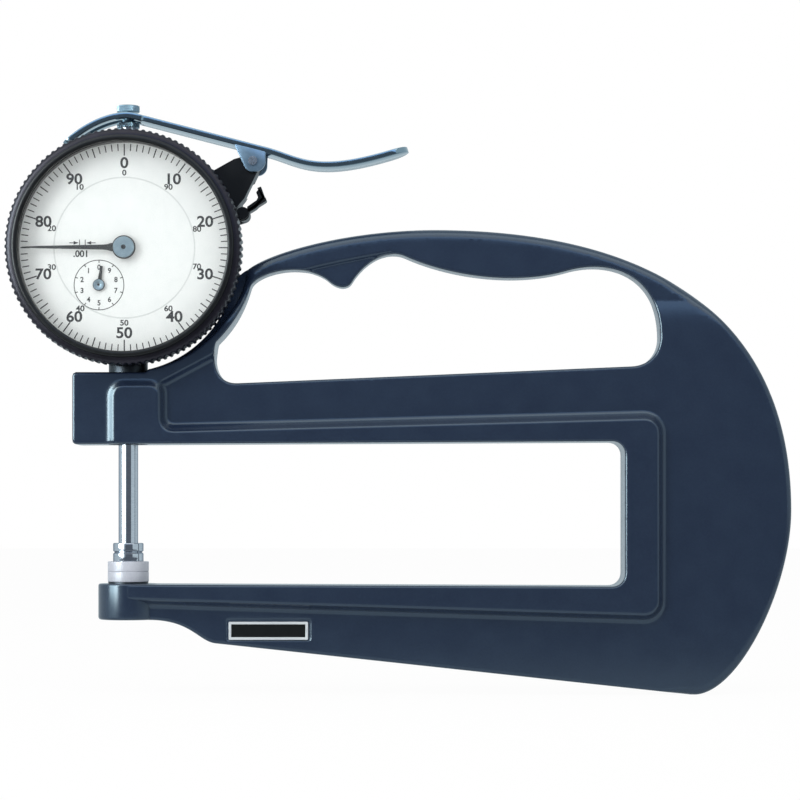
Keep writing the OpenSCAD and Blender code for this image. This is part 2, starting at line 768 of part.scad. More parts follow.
module takeup_arbor() {
    color([0.75, 0.76, 0.78]) union() {
        dial_pin(takeup_pos, arbor_r, plate_front, rear_front - 0.1);
        dial_pin(takeup_pos, hair_in - 0.15, hair_y - 0.1, hair_y + hair_w + 0.1);
        dial_pin(takeup_pos, pivot_r, rear_front - 0.1, rear_front + rear_t);
    }
}

// Thin brass wheel with spokes
module spoked_wheel(pos, teeth, phase) {
    pitch_r = gear_m * teeth / 2;
    rim_in = pitch_r - 1.9;
    hub_r = 2;
    color([0.83, 0.7, 0.38]) dial_slab(wheel_front, wheel_front + wheel_t) translate(pos) difference() {
        polygon(gear(teeth, pitch_r + 0.75 * gear_m, pitch_r - 1.15 * gear_m, 0.3, 0.8, phase));
        difference() {
            circle(rim_in);
            circle(hub_r);
            for (a = [0:90:359]) rotate(a + 45) translate([0, -0.6]) square([rim_in + over, 1.2]);
        }
        circle(arbor_r + seat_fit);
    }
}

module takeup_wheel() {
    spoked_wheel(takeup_pos, takeup_teeth, takeup_phase);
}

module counter_wheel() {
    spoked_wheel(counter_pos, wheel_teeth, counter_dir);
}

module counter_arbor() {
    color([0.75, 0.76, 0.78]) union() {
        dial_pin(counter_pos, arbor_r, counter_hand_y, rear_front - 0.1);
        dial_pin(counter_pos, pivot_r, rear_front - 0.1, rear_front + rear_t);
    }
}

module rack_pinion() {
    half = 1.6;
    color([0.83, 0.7, 0.38]) dial_slab(-half, half) translate(counter_pos) difference() {
        polygon(gear(rack_teeth, rack_r + 0.75 * rack_m, rack_r - 1.15 * rack_m, 0.3, 0.8, 180 / rack_teeth));
        circle(arbor_r + seat_fit);
    }
}

// Pointer's arbor with its pinion cut in one piece
module centre_arbor() {
    pitch_r = gear_m * pinion_teeth / 2;
    color([0.75, 0.76, 0.78]) union() {
        dial_pin([0, 0], arbor_r - 0.1, pointer_y - 0.4, wheel_front - 0.2);
        dial_slab(wheel_front - 0.2, wheel_front + wheel_t + 0.2)
            polygon(gear(pinion_teeth, pitch_r + 0.75 * gear_m, pitch_r - 1.2 * gear_m, 0.22, 0.62, pinion_phase));
        dial_pin([0, 0], pivot_r, wheel_front + wheel_t + 0.2, bridge_front + bridge_t);
    }
}

// Hand with a long tapered blade and a short tail
module hand(length, tail, root_w, tip_w, eye_r, bore_r) {
    difference() {
        union() {
            circle(eye_r);
            polygon([[-root_w / 2, -tail], [root_w / 2, -tail], [root_w / 2, 0],
                [tip_w / 2, length], [-tip_w / 2, length], [-root_w / 2, 0]]);
        }
        circle(bore_r);
    }
}

module main_pointer() {
    color([0.08, 0.08, 0.09]) dial_slab(pointer_y, pointer_y + hand_t) rotate(-pointer_rest)
        hand(window_d / 2 - 0.6, 2, 1.35, 0.3, 1.6, arbor_r - 0.1 + seat_fit);
}

module pointer_hub() {
    bore = arbor_r - 0.1 + seat_fit;
    color([0.5, 0.51, 0.52]) washer(bore, 2.6, pointer_y - 0.7, pointer_y);
}

module counter_hand() {
    color([0.08, 0.08, 0.09]) dial_slab(counter_hand_y, counter_hand_y + hand_t) translate(counter_pos)
        rotate(-counter_rest) hand(4.6, 1.2, 0.75, 0.3, 1.05, arbor_r + seat_fit);
}

// Measuring rod with a rack cut along its left side
module spindle() {
    tip_x = rack_line - 0.75 * rack_m;
    root_x = rack_line + 1.15 * rack_m;
    mesh_z = dial_z - counter_drop;
    gap_tip = 0.41 * rack_pitch;
    gap_root = 0.24 * rack_pitch;
    count = ceil(travel / rack_pitch) + 8;
    high = mesh_z + 5 * rack_pitch;
    low = high - count * rack_pitch;
    z0 = face_t + collar_h;
    color([0.82, 0.83, 0.85]) difference() {
        rod(0, spindle_r, z0, cap_z);
        slab(-spindle_r, spindle_r) translate([-2 * spindle_r, low])
            square([2 * spindle_r + tip_x, high - low]);
        slab(-spindle_r, spindle_r) for (i = [0:count - 1])
            translate([0, high - (i + 0.5) * rack_pitch]) polygon([[tip_x - over, -gap_tip],
                [tip_x, -gap_tip], [root_x, -gap_root], [root_x, gap_root], [tip_x, gap_tip],
                [tip_x - over, gap_tip]]);
        translate([0, spindle_r - 1.2, guide_z]) rotate([-90, 0, 0]) cylinder(r = guide_r + seat_fit, h = 4);
        translate([spindle_r - 1.2, 0, guide_z]) rotate([0, 90, 0]) cylinder(r = hook_r + seat_fit, h = 4);
    }
}

module guide_pin() {
    color([0.75, 0.76, 0.78]) translate([0, 0, guide_z])
        slab(spindle_r - 1.2, rear_front + rear_t + 0.4) circle(guide_r);
}

module spring_pin() {
    color([0.75, 0.76, 0.78]) translate([spindle_r - 1.2, 0, guide_z]) rotate([0, 90, 0])
        cylinder(r = hook_r, h = spring_x + spring_coil_r - spindle_r + 1.2);
}

// Steel collar that holds the upper ceramic face, with a groove round its middle
module contact_collar() {
    r = collar_d / 2;
    mid = face_t + collar_h / 2;
    groove = 0.35;
    color([0.8, 0.8, 0.82]) rotate_extrude() polygon([[0, face_t], [r - 0.2, face_t], [r, face_t + 0.2],
        [r, mid - groove], [r - groove, mid], [r, mid + groove],
        [r, face_t + collar_h - 0.3], [r - 0.3, face_t + collar_h], [0, face_t + collar_h]]);
}

module contact_disc() {
    color([0.95, 0.95, 0.97]) rod(0, face_r, 0, face_t);
}

// Spool screwed on the spindle's upper end; the lever's prongs lie in its waist
module lift_cap() {
    r = cap_d / 2;
    w = waist_d / 2;
    top = waist_low + waist_h + cap_crown_h;
    color([0.8, 0.8, 0.82]) rotate_extrude() polygon([[0, cap_z], [r - 0.2, cap_z], [r, cap_z + 0.2],
        [r, waist_low], [w, waist_low], [w, waist_low + waist_h], [r, waist_low + waist_h],
        [r, top - 0.3], [r - 0.4, top], [0, top]]);
}

// Involute of the circle through the spindle axis about the pivot: it lifts the cap evenly with the turn
function fork_point(turn) =
    let (h = lever_rise + pivot_x * turn * PI / 180)
    [pivot_x - pivot_x * cos(turn) - h * sin(turn), pivot_z - pivot_x * sin(turn) + h * cos(turn)];

// Middle line of the lever, from the prongs' ends to the thumb rest
function lever_path() =
    let (knee = fork_point(fork_start), slope = [cos(fork_start), sin(fork_start)])
    let (bend = knee + 33 * slope, pivot = [pivot_x, pivot_z], thumb = pivot + [37.7, 3.3])
    concat([for (i = [0:14]) fork_point(fork_end + (fork_start - fork_end) * i / 14)],
        curve(bend, bend + 9 * slope, pivot + [14.7, -4.3], thumb, 12), [thumb]);

// Pressed plate lever: two prongs, two ears on the pivot pin and a dished thumb rest
module lift_lever() {
    path = lever_path();
    half = lever_w / 2;
    knee = fork_point(fork_start);
    slot_right = fork_gap / 2 + 1.2;
    ear_top = knee + 30 * [cos(fork_start), sin(fork_start)];
    color([0.84, 0.85, 0.87]) difference() {
        union() {
            slab(-half, half) polygon(strip(path, lever_t));
            for (y = [-half, half - ear_t]) slab(y, y + ear_t) {
                translate([pivot_x, pivot_z]) circle(lever_eye_r);
                polygon([ear_top + [-6.5, 1.7], ear_top + [2.6, -0.6],
                    [pivot_x + lever_eye_r, pivot_z], [pivot_x - lever_eye_r, pivot_z]]);
            }
        }
        translate([-60, -fork_gap / 2, pivot_z - 20]) cube([60 + slot_right, fork_gap, 60]);
        translate([pivot_x, 0, pivot_z]) slab(-half - over, half + over) circle(lever_pin_r + run_fit);
    }
}

module lever_pin() {
    half = lever_w / 2 + 0.5;
    color([0.8, 0.8, 0.82]) translate([pivot_x, 0, pivot_z]) slab(-half, half) circle(lever_pin_r);
}

// Holes for the screws that hold the bracket, along the case's radius
module bracket_holes() {
    for (a = bracket_screw_dirs) translate([0, bracket_y, dial_z]) rotate([0, 90 - a, 0])
        translate([0, 0, case_in - 1]) cylinder(r = screw_r + seat_fit, h = 12);
}

// Black bracket on the side of the case that carries the lever's pivot
module lever_bracket() {
    front = -lug_w / 2;
    back = case_back - 0.4;
    color([0.1, 0.1, 0.11]) difference() {
        union() {
            slab(front, back) translate([pivot_x, pivot_z]) circle(lever_eye_r - 0.3);
            slab(front, back) polygon([[pivot_x - 4.6, pivot_z + 0.6], [pivot_x - 1.4, pivot_z + 1.5],
                [pivot_x + 2, pivot_z - 0.6],
                at(case_r + 4.25, 23.8), at(case_r + 1.27, 20.9), at(case_r - 1.8, 44.5)]);
        }
        washer(0, case_r, front - over, back + over);
        dial_slab(-20, bezel_back + 0.9) circle(bezel_r + 0.6);
        slab(lug_w / 2, 20) translate([0, dial_z]) difference() {
            circle(60);
            circle(case_r + 3.2);
        }
        translate([pivot_x, 0, pivot_z]) slab(-20, 20) circle(lever_pin_r + seat_fit);
        bracket_holes();
        for (a = bracket_screw_dirs) translate([0, bracket_y, dial_z]) rotate([0, 90 - a, 0])
            translate([0, 0, case_r + 1.6]) cylinder(r = head_r + 0.15, h = 20);
    }
}

module bracket_screws() {
    color([0.3, 0.3, 0.32]) for (a = bracket_screw_dirs) translate([0, bracket_y, dial_z])
        rotate([0, 90 - a, 0]) translate([0, 0, case_in]) union() {
            cylinder(r = screw_r, h = case_r + 1.6 - case_in);
            translate([0, 0, case_r + 1.6 - case_in]) cylinder(r = head_r, h = head_h);
        }
}

module clamp_pin() {
    front = clamp_front - 0.5;
    back = clamp_front + clamp_w + 0.2 + clamp_lug_t;
    color([0.3, 0.3, 0.32]) translate([clamp_x, 0, clamp_z]) union() {
        slab(front, back) circle(clamp_pin_r);
        slab(front - 0.6, front) circle(clamp_eye_r - 0.2);
    }
}

// Bent strip that locks the bezel: an eye on its pin, an arm and an upturned finger tab
module bezel_clamp() {
    eye = [clamp_x, clamp_z];
    arm = [[clamp_x + 1.2, clamp_z + 0.7], [clamp_x + 3, clamp_z + 1.8],
        [clamp_x + 5, clamp_z + 3.9], [clamp_x + 4, clamp_z + 6.5]];
    back = clamp_front + clamp_w;
    color([0.1, 0.1, 0.11]) difference() {
        union() {
            slab(clamp_front, back) translate(eye) circle(clamp_eye_r);
            slab(clamp_front, back) polygon(strip(arm, clamp_t));
        }
        slab(clamp_front - over, back + over) translate(eye) circle(clamp_pin_r + run_fit);
    }
}

frame();
nameplate();
anvil_seat();
anvil_disc();
stem_set_screw();
case();
stem();
stem_bush();
upper_bush();
back_cover();
cover_gasket();
back_cover_screws();
movement_plate();
movement_bridge();
rear_plate();
bridge_pillars();
rear_pillars();
movement_screws();
plate_screws();
dial_feet();
centre_dial();
spring_post();
return_spring();
hairspring();
hairspring_stud();
lever_bracket();
bracket_screws();
lever_pin();
clamp_pin();
bezel();
bezel_wire();
crystal();
crystal_ring();
scale_ring();
scale_retainer();
spindle();
contact_collar();
contact_disc();
lift_cap();
guide_pin();
spring_pin();
lift_lever();
main_pointer();
pointer_hub();
centre_arbor();
counter_hand();
counter_arbor();
rack_pinion();
counter_wheel();
takeup_wheel();
takeup_arbor();
bezel_clamp();
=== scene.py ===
import math

import bmesh
import bpy
import numpy as np
from mathutils.geometry import delaunay_2d_cdt
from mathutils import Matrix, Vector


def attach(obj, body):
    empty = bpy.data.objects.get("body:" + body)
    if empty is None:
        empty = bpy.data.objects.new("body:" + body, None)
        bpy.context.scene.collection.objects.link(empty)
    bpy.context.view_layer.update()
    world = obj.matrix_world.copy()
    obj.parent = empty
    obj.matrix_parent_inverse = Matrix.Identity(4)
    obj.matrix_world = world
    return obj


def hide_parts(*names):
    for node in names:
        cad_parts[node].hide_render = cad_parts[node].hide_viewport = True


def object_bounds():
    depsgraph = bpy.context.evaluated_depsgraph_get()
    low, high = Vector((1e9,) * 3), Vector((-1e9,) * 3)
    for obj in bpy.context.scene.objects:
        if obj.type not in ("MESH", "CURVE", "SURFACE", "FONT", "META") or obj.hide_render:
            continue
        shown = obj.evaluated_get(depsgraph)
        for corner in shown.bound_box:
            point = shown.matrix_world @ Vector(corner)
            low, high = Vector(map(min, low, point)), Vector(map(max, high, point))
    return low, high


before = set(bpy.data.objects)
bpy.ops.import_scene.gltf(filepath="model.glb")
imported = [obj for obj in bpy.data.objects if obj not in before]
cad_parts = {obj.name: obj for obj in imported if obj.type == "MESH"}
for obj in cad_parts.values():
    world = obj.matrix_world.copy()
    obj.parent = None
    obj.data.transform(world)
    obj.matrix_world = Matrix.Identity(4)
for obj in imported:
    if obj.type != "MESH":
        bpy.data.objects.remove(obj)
cad_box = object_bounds()

# Casting. One die-cast aluminium frame: a deep throat with a raised rim, a head block that clamps the
# indicator, a rib round the dial and a pistol grip with a finger rest. It is sprayed with satin slate-blue
# stove enamel, so every edge is soft. Lengths in this file are millimetres until a mesh is made.
MM = 0.001
DIAL = np.array([0.0, 78.3])
# Half thicknesses of the casting's levels, and how deep the finger rest lies below the grip
WEB, GRIP, HEAD, RIM = 4.6, 3.9, 6.5, 7.3
REST_DEPTH = 1.0
# Radii about the dial: the hollow round the bezel and round the case, and the rib's outer edge; and the way
# that the seat behind the dial is moved, so that its gap widens downwards
BEZEL_GAP_R, CASE_GAP_R, RIB_R = 29.6, 27.6, 31.4
SEAT_SHIFT = np.array([-0.9, -2.1])
TOP_Z, BACK_X, FOOT_Z = 83.4, 161.8, -29.9
HEAD_TOP, JAW_LOW = 48.5, -11.7
OUTLINE_STEP = 0.7


def linear(code):
    """Linear colour of an sRGB hex code: each channel divided by 12.92 below 0.04045, else raised to 2.4."""
    c = np.array([int(code[i:i + 2], 16) for i in (1, 3, 5)]) / 255
    c = np.where(c <= 0.04045, c / 12.92, ((c + 0.055) / 1.055) ** 2.4)
    return (*c.tolist(), 1.0)


def cubic(p0, p1, p2, p3, n=28):
    """Cubic curve without its last point: its four control points weighted by the binomial terms of t."""
    t = np.linspace(0, 1, n, endpoint=False)[:, None]
    u = 1 - t
    return (u ** 3 * np.array(p0) + 3 * u * u * t * np.array(p1)
            + 3 * u * t * t * np.array(p2) + t ** 3 * np.array(p3))


def arc(centre, r, a, b, n=40):
    """Arc about a centre from direction a to direction b, in degrees."""
    t = np.radians(np.linspace(a, b, n))[:, None]
    return np.array(centre) + r * np.hstack([np.cos(t), np.sin(t)])


def rounded(corners, n=8):
    """Closed polygon of corners (x, z, r): each corner becomes an arc of radius r that touches both sides,
    with its centre on the bisector at r / sin(half the corner's angle)."""
    c = np.array(corners, float)
    p, r = c[:, :2], c[:, 2]
    u = np.roll(p, 1, 0) - p
    v = np.roll(p, -1, 0) - p
    u /= np.linalg.norm(u, axis=1)[:, None]
    v /= np.linalg.norm(v, axis=1)[:, None]
    half = np.arccos(np.clip((u * v).sum(1), -1, 1)) / 2
    m = (u + v) / np.linalg.norm(u + v, axis=1)[:, None]
    centre = p + m * (r / np.sin(half))[:, None]
    a = p + u * (r / np.tan(half))[:, None] - centre
    b = p + v * (r / np.tan(half))[:, None] - centre
    turn = np.arctan2(a[:, 0] * b[:, 1] - a[:, 1] * b[:, 0], (a * b).sum(1))
    t = np.arctan2(a[:, 1], a[:, 0])[:, None] + turn[:, None] * np.linspace(0, 1, n)
    out = (centre[:, None] + r[:, None, None] * np.stack([np.cos(t), np.sin(t)], 2)).reshape(-1, 2)
    return out[np.r_[True, np.hypot(*np.diff(out, axis=0).T) > 1e-6]]


def even(loop, step):
    """Closed outline with points at an even step along its length."""
    p = np.vstack([loop, loop[:1]])
    s = np.r_[0, np.cumsum(np.hypot(*np.diff(p, axis=0).T))]
    t = np.linspace(0, s[-1], int(s[-1] / step), endpoint=False)
    return np.stack([np.interp(t, s, p[:, 0]), np.interp(t, s, p[:, 1])], 1)


def beside(path, offsets, closed=True):
    """Points beside a path: every point moved along the path's left normal by every offset."""
    d = np.roll(path, -1, 0) - np.roll(path, 1, 0) if closed else np.gradient(path, axis=0)
    n = np.stack([-d[:, 1], d[:, 0]], 1) / np.linalg.norm(d, axis=1)[:, None]
    k = np.asarray(offsets, float)
    k = k[:, None] if k.ndim == 1 else k
    return (path[None] + k[:, :, None] * n[None]).reshape(-1, 2)


def depth_in(points, loop):
    """Signed distance to a closed outline, positive inside: the least distance to a side, with the sign from
    the number of sides that a level ray crosses."""
    a, b = loop, np.roll(loop, -1, 0)
    d = b - a
    length = np.maximum((d * d).sum(1), 1e-12)
    out = []
    for q in np.array_split(points, max(1, len(points) // 1500)):
        w = q[:, None] - a[None]
        t = np.clip((w * d).sum(2) / length, 0, 1)
        near = np.sqrt(((w - t[:, :, None] * d) ** 2).sum(2).min(1))
        above = (a[:, 1] > q[:, 1:]) != (b[:, 1] > q[:, 1:])
        cross = a[:, 0] + (q[:, 1:] - a[:, 1]) * d[:, 0] / np.where(d[:, 1] == 0, 1e-12, d[:, 1])
        inside = (above & (q[:, :1] < cross)).sum(1) % 2 == 1
        out.append(np.where(inside, near, -near))
    return np.concatenate(out)


def smooth(t):
    """Smooth step: 3 t squared minus 2 t cubed between 0 and 1."""
    t = np.clip(t, 0, 1)
    return t * t * (3 - 2 * t)


def seat(base, a):
    """Radius of the hollow beside the dial in direction a: a circle about the dial, or the far side of the
    case's circle moved by c where that is larger: c.u plus the root of (R squared - c squared + (c.u)
    squared), with u the direction's unit vector."""
    near = np.stack([np.cos(a), np.sin(a)], -1) @ SEAT_SHIFT
    return np.maximum(base, near + np.sqrt(CASE_GAP_R ** 2 - SEAT_SHIFT @ SEAT_SHIFT + near ** 2))


def outline():
    """Front outline of the casting, clockwise from the grip's front end, over the back, the lower arm, the
    throat and the head to the hollow beside the dial."""
    grip = cubic((28.2, 72.4), (30.5, 76.8), (52, TOP_Z), (75, TOP_Z), 60)
    grip = grip[np.hypot(*(grip - DIAL).T) > BEZEL_GAP_R]
    back = cubic((75, TOP_Z), (126, TOP_Z), (BACK_X, 64), (BACK_X, 15), 60)
    foot = (137.4, FOOT_Z)
    heel = cubic((BACK_X, 15), (BACK_X, -4), (148.6, -31), foot, 40)
    belly = cubic((21.6, -17.4), (17.6, -17), (15.6, JAW_LOW), (5.5, JAW_LOW))
    throat = rounded([(5.5, JAW_LOW, 0), (0, JAW_LOW, 0), (0, -3, 0), (121, -3.5, 3), (121, 31.7, 3),
                      (-13, 31, 0.9), (-13, HEAD_TOP, 0.9), (5, HEAD_TOP, 0)])
    a = np.linspace(-1.5, math.atan2(grip[0, 1] - DIAL[1], grip[0, 0]), 90)[:-1]
    hollow = DIAL + seat(BEZEL_GAP_R, a)[:, None] * np.stack([np.cos(a), np.sin(a)], 1)
    return np.vstack([grip, back, heel, [foot], belly, throat, hollow[hollow[:, 0] > 5]])


OUTER = even(outline(), OUTLINE_STEP)
OUTER[:, 1] = np.maximum(OUTER[:, 1], FOOT_Z)
# Behind the bezel the hollow closes in on the case, over 4.5 degrees down to 13 degrees below level
turn = np.arctan2(OUTER[:, 1] - DIAL[1], OUTER[:, 0])
behind = CASE_GAP_R + (BEZEL_GAP_R - CASE_GAP_R) * np.clip((np.degrees(turn) + 13) / 4.5, 0, 1)
at_hollow = (np.hypot(*(OUTER - DIAL).T) < seat(BEZEL_GAP_R, turn) + 0.02) & (OUTER[:, 1] > HEAD_TOP + 0.1)
drawn_in = DIAL + (OUTER - DIAL) * (seat(behind, turn) / seat(BEZEL_GAP_R, turn))[:, None]
OUTER_BACK = np.where(at_hollow[:, None], drawn_in, OUTER)
# The hand's hole: along the rib, over the finger rest and its notch, along the waved grip, round the back
rib_foot = DIAL + RIB_R * np.array([math.cos(0.803), -math.sin(0.803)])
wave = [(30.1, 69.4), (31.2, 72.6), (42.5, 76), (49, 71), (50.6, 69.4), (53.2, 68.6), (54.6, 70.3),
        (56.4, 73.4), (59.6, 76.4), (63, 77.1), (64.6, 77.6), (66.2, 77.5), (67.8, 76.8), (78, 72.2),
        (94, 69.6), (106.9, 73.2), (117.6, 76.4), (129.8, 72.6), (129.8, 57.2), (129.8, 53), (126.8, 50.2),
        (123, 50)]
GRIP_HOLE = even(np.vstack([cubic((27, 45.9), (22.6, 45.7), (20.4, 49.5), rib_foot),
                            arc(DIAL, RIB_R, -46, -16.5),
                            *[cubic(*wave[i:i + 4]) for i in range(0, len(wave) - 1, 3)], wave[-1:]]),
                 OUTLINE_STEP)
# Outlines of the levels: the rim round the throat, the head with the rib, the finger rest, the plate's pocket
RIM_EDGE = even(rounded([(-3.6, 20, 0), (-3.6, 45.7, 3), (8.6, 45.7, 3), (8.6, 34.7, 3), (129.8, 37.9, 4),
                         (129.8, -11.2, 4), (-9, -6.9, 0), (-9, 3, 0), (100, 5, 0), (100, 20, 0)]),
                OUTLINE_STEP)
HEAD_EDGE = even(np.vstack([[(-30, 20), (8.6, 20), (8.6, 45.7), (20.7, 52.1), (24.6, 54.2)],
                            arc(DIAL, 35, -41, 0), [(0, DIAL[1]), (-30, DIAL[1])]]), OUTLINE_STEP)
REST_EDGE = even(np.vstack([cubic((41, 72.6), (46, 74.4), (58, 76.6), (64, 77.6)),
                            [(64, 77.6), (66, 62), (41, 62)]]), 0.6)
POCKET_EDGE = even(rounded([(24.3, -16.75, 0.4), (24.3, -11.5, 0.4), (44.75, -11.5, 0.4),
                            (44.75, -16.75, 0.4)]), 0.5)
POCKET_DEPTH = 0.25
# Widths of the ramps between levels, and the level crease below which the grip swells into the web
LEVEL_RAMP, REST_RAMP, POCKET_RAMP = 1.4, 0.8, 0.3
CREASE_Z, SWELL = 66, 7
CREASE = np.stack([np.linspace(129, 152, 60), np.full(60, CREASE_Z)], 1)
HOLE_RADIUS = 0.6


def ramp(t):
    """Straight ramp from 0 to 1: its foot is a parabola from -0.6 to 0.6, its shoulder from 0.75 to 1.25."""
    def soft(x, w):
        return np.where(x > w, x, np.where(x < -w, 0, (x + w) ** 2 / (4 * w)))
    return soft(t, 0.6) - soft(t - 1, 0.25)


def rise(p, edge, width):
    """Share of a level's height at points of the side view: a ramp of a width, half of it past the edge."""
    return ramp((depth_in(p, edge) + width / 2) / width)


def edge_radius(p):
    """Rounding of the outer edge: 0.6 mm, 1.4 mm at the back and up to 3 mm over the grip, for the palm."""
    return 0.6 + 0.8 * smooth((p[:, 0] - 130) / 6) + 1.6 * smooth((p[:, 1] - 60) / 12)


def half_thickness(p, from_outer, from_hole):
    """Half thickness of the casting at points of its side view. The grip swells into the web below its
    crease; the finger rest is thinner; the rib, the head and the rim rise over ramps; and each edge falls
    away as a quarter of a circle of radius r: r minus the root of (r squared minus (r - d) squared)."""
    t = np.clip((CREASE_Z - p[:, 1]) / SWELL, 0, 1)
    level = GRIP + (WEB - GRIP) * (1 - (1 - t) ** 2)
    level = level - REST_DEPTH * rise(p, REST_EDGE, REST_RAMP)
    # The rib falls from the head's thickness to the grip's between 38 and 16 degrees below level
    around = np.degrees(np.arctan2(p[:, 1] - DIAL[1], p[:, 0]))
    rib = HEAD - (HEAD - GRIP) * smooth((around + 38) / 22)
    level = level + (rib - level) * rise(p, HEAD_EDGE, LEVEL_RAMP)
    level = level + (RIM - level) * rise(p, RIM_EDGE, LEVEL_RAMP)
    for r, d in ((edge_radius(p), from_outer), (HOLE_RADIUS, from_hole)):
        level = level - r + np.sqrt(np.maximum(r * r - (r - np.minimum(d, r)) ** 2, 0))
    return level


def sheet(outer, side):
    """One face of the casting as a height field: points on the outlines, in rows beside every edge and on a
    coarse grid are joined by a Delaunay net, and each point is raised by the half thickness. The front has a
    shallow pocket for the plate."""
    # The coarse grid clears the ramps; rows cross each rounding, in shares of it, and each ramp, in mm
    x, z = np.meshgrid(np.arange(-14, 164, 2.2), np.arange(-31, 86, 1.9))
    x[1::2] += 1.1
    loose = np.stack([x.ravel(), z.ravel()], 1)
    for edge, clear in ((RIM_EDGE, 2.1), (HEAD_EDGE, 2.1), (REST_EDGE, 2.1), (POCKET_EDGE, 0.6)):
        loose = loose[np.abs(depth_in(loose, edge)) > clear]
    rounding = np.array([0.03, 0.12, 0.3, 0.6, 1.0, 1.5])[:, None]
    half_steps = np.array([0.25, 0.55, 0.85, 1.15, 1.45, 1.75])
    steps = np.r_[-half_steps[::-1], 0, half_steps]
    loose = np.vstack([beside(outer, -rounding * edge_radius(outer)),
                       beside(GRIP_HOLE, rounding * HOLE_RADIUS),
                       beside(RIM_EDGE, steps), beside(HEAD_EDGE, steps), beside(REST_EDGE, steps * 0.57),
                       beside(CREASE, [-1.5, -0.5, 0, 0.5, 1.5], False),
                       beside(POCKET_EDGE, [-0.44, -0.28, -0.12, 0.04, 0.2, 0.36]), loose])
    # One point per cell of 0.16 mm, none nearer than 0.015 mm to an outline
    loose = loose[np.sort(np.unique(np.round(loose / 0.16), axis=0, return_index=True)[1])]
    loose = loose[np.minimum(depth_in(loose, outer), -depth_in(loose, GRIP_HOLE)) > 0.015]
    edges = [(i + start, (i + 1) % n + start) for start, n in ((0, len(outer)), (len(outer), len(GRIP_HOLE)))
             for i in range(n)]
    flat = [tuple(q) for q in np.vstack([outer, GRIP_HOLE, loose])]
    net = delaunay_2d_cdt(flat, edges, [], 0, 1e-4)
    p, tri = np.array([tuple(v) for v in net[0]]), np.array(net[2])
    # Triangles past an outline, and slivers along it, go; points on an outline get a depth of exactly 0
    middle = p[tri].mean(1)
    tri = tri[np.minimum(depth_in(middle, outer), -depth_in(middle, GRIP_HOLE)) > 0.002]
    d, e = np.maximum(depth_in(p, outer), 0), np.maximum(-depth_in(p, GRIP_HOLE), 0)
    d[d < 0.004], e[e < 0.004] = 0, 0
    h = half_thickness(p, d, e)
    if side < 0:
        h = h - POCKET_DEPTH * rise(p, POCKET_EDGE, POCKET_RAMP)
    return np.stack([p[:, 0], side * h, p[:, 1]], 1), tri if side < 0 else tri[:, ::-1]


def grid_faces(rows, cols, ring=False):
    """Quads of a grid of points: each cell joins a point to its neighbours along the row and the column. Each
    row runs round to its start, and in a ring the last row joins the first."""
    i = np.arange(rows if ring else rows - 1)[:, None]
    j = np.arange(cols)[None]
    k, m = (i + 1) % rows, (j + 1) % cols
    return np.stack([i * cols + j, i * cols + m, k * cols + m, k * cols + j], -1).reshape(-1, 4)


def wall(front, back, from_outer, from_hole, ledge):
    """Wall between the two faces along one outline: from the front edge to a ledge 0.4 mm deep and on to the
    back edge. Where the casting is thin, the ledge stays within 0.9 of the half thickness."""
    def row(p, y):
        return np.stack([p[:, 0], np.broadcast_to(y, len(p)), p[:, 1]], 1)
    d, e = np.full(len(front), from_outer), np.full(len(front), from_hole)
    h = half_thickness(front, d, e)
    rows = [row(front, -h), row(front, np.maximum(ledge - 0.2, -0.9 * h)),
            row(back, np.maximum(ledge + 0.2, -0.8 * h)), row(back, half_thickness(back, d, e))]
    return np.vstack(rows), grid_faces(4, len(front))


def lathe(profile, n):
    """Surface of revolution as a grid: rows follow the profile (radius, height), columns the angle."""
    p = np.array(profile, float)
    a = np.linspace(0, 2 * np.pi, n, endpoint=False)
    r, h = np.repeat(p[:, :1], n, 1), np.repeat(p[:, 1:2], n, 1)
    return r, h, np.broadcast_to(a, r.shape)


def about_spindle(r, h, a):
    """Points at radius r, height h and angle a about the spindle axis."""
    return np.stack([r * np.cos(a), r * np.sin(a), h], -1).reshape(-1, 3)


def turned(profile, n, about=about_spindle, ring=False):
    """Points and faces of a profile (radius, height) turned about an axis; a ring's profile is closed."""
    return about(*lathe(profile, n)), grid_faces(len(profile), n, ring)


SHARP = 38


def piece(name, shells, materials, body, replaces=(), crease=SHARP, closed=True):
    """One object from shells (points in mm, faces, material number): doubles are merged, gaps of up to eight
    sides are closed and faces turned outwards. Edges sharper than the crease in degrees stay sharp."""
    points, faces, marks, start = [], [], [], 0
    for p, f, mark in shells:
        points.append(p)
        faces += [[int(v) + start for v in q] for q in f]
        marks += [mark] * len(f)
        start += len(p)
    mesh = bpy.data.meshes.new(name)
    mesh.from_pydata((np.vstack(points) * MM).tolist(), [], faces)
    mesh.polygons.foreach_set("material_index", marks)
    bm = bmesh.new()
    bm.from_mesh(mesh)
    bmesh.ops.remove_doubles(bm, verts=bm.verts, dist=2e-6)
    if closed:
        bmesh.ops.holes_fill(bm, edges=[e for e in bm.edges if e.is_boundary], sides=8)
        bmesh.ops.recalc_face_normals(bm, faces=bm.faces)
    bm.to_mesh(mesh)
    bm.free()
    mesh.shade_smooth()
    mesh.set_sharp_from_angle(angle=math.radians(crease))
    for m in materials:
        mesh.materials.append(m)
    made = bpy.data.objects.new(name, mesh)
    bpy.context.scene.collection.objects.link(made)
    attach(made, body)
    if replaces:
        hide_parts(*replaces)
    return made


def add(tree, kind, settings=None, inputs=None):
    """Adds one node: settings are its properties, inputs give a socket's value or its feeding socket."""
    made = tree.nodes.new(kind)
    for key, value in (settings or {}).items():
        setattr(made, key, value)
    for key, value in (inputs or {}).items():
        if isinstance(value, bpy.types.NodeSocket):
            tree.links.new(value, made.inputs[key])
        else:
            made.inputs[key].default_value = value
    return made


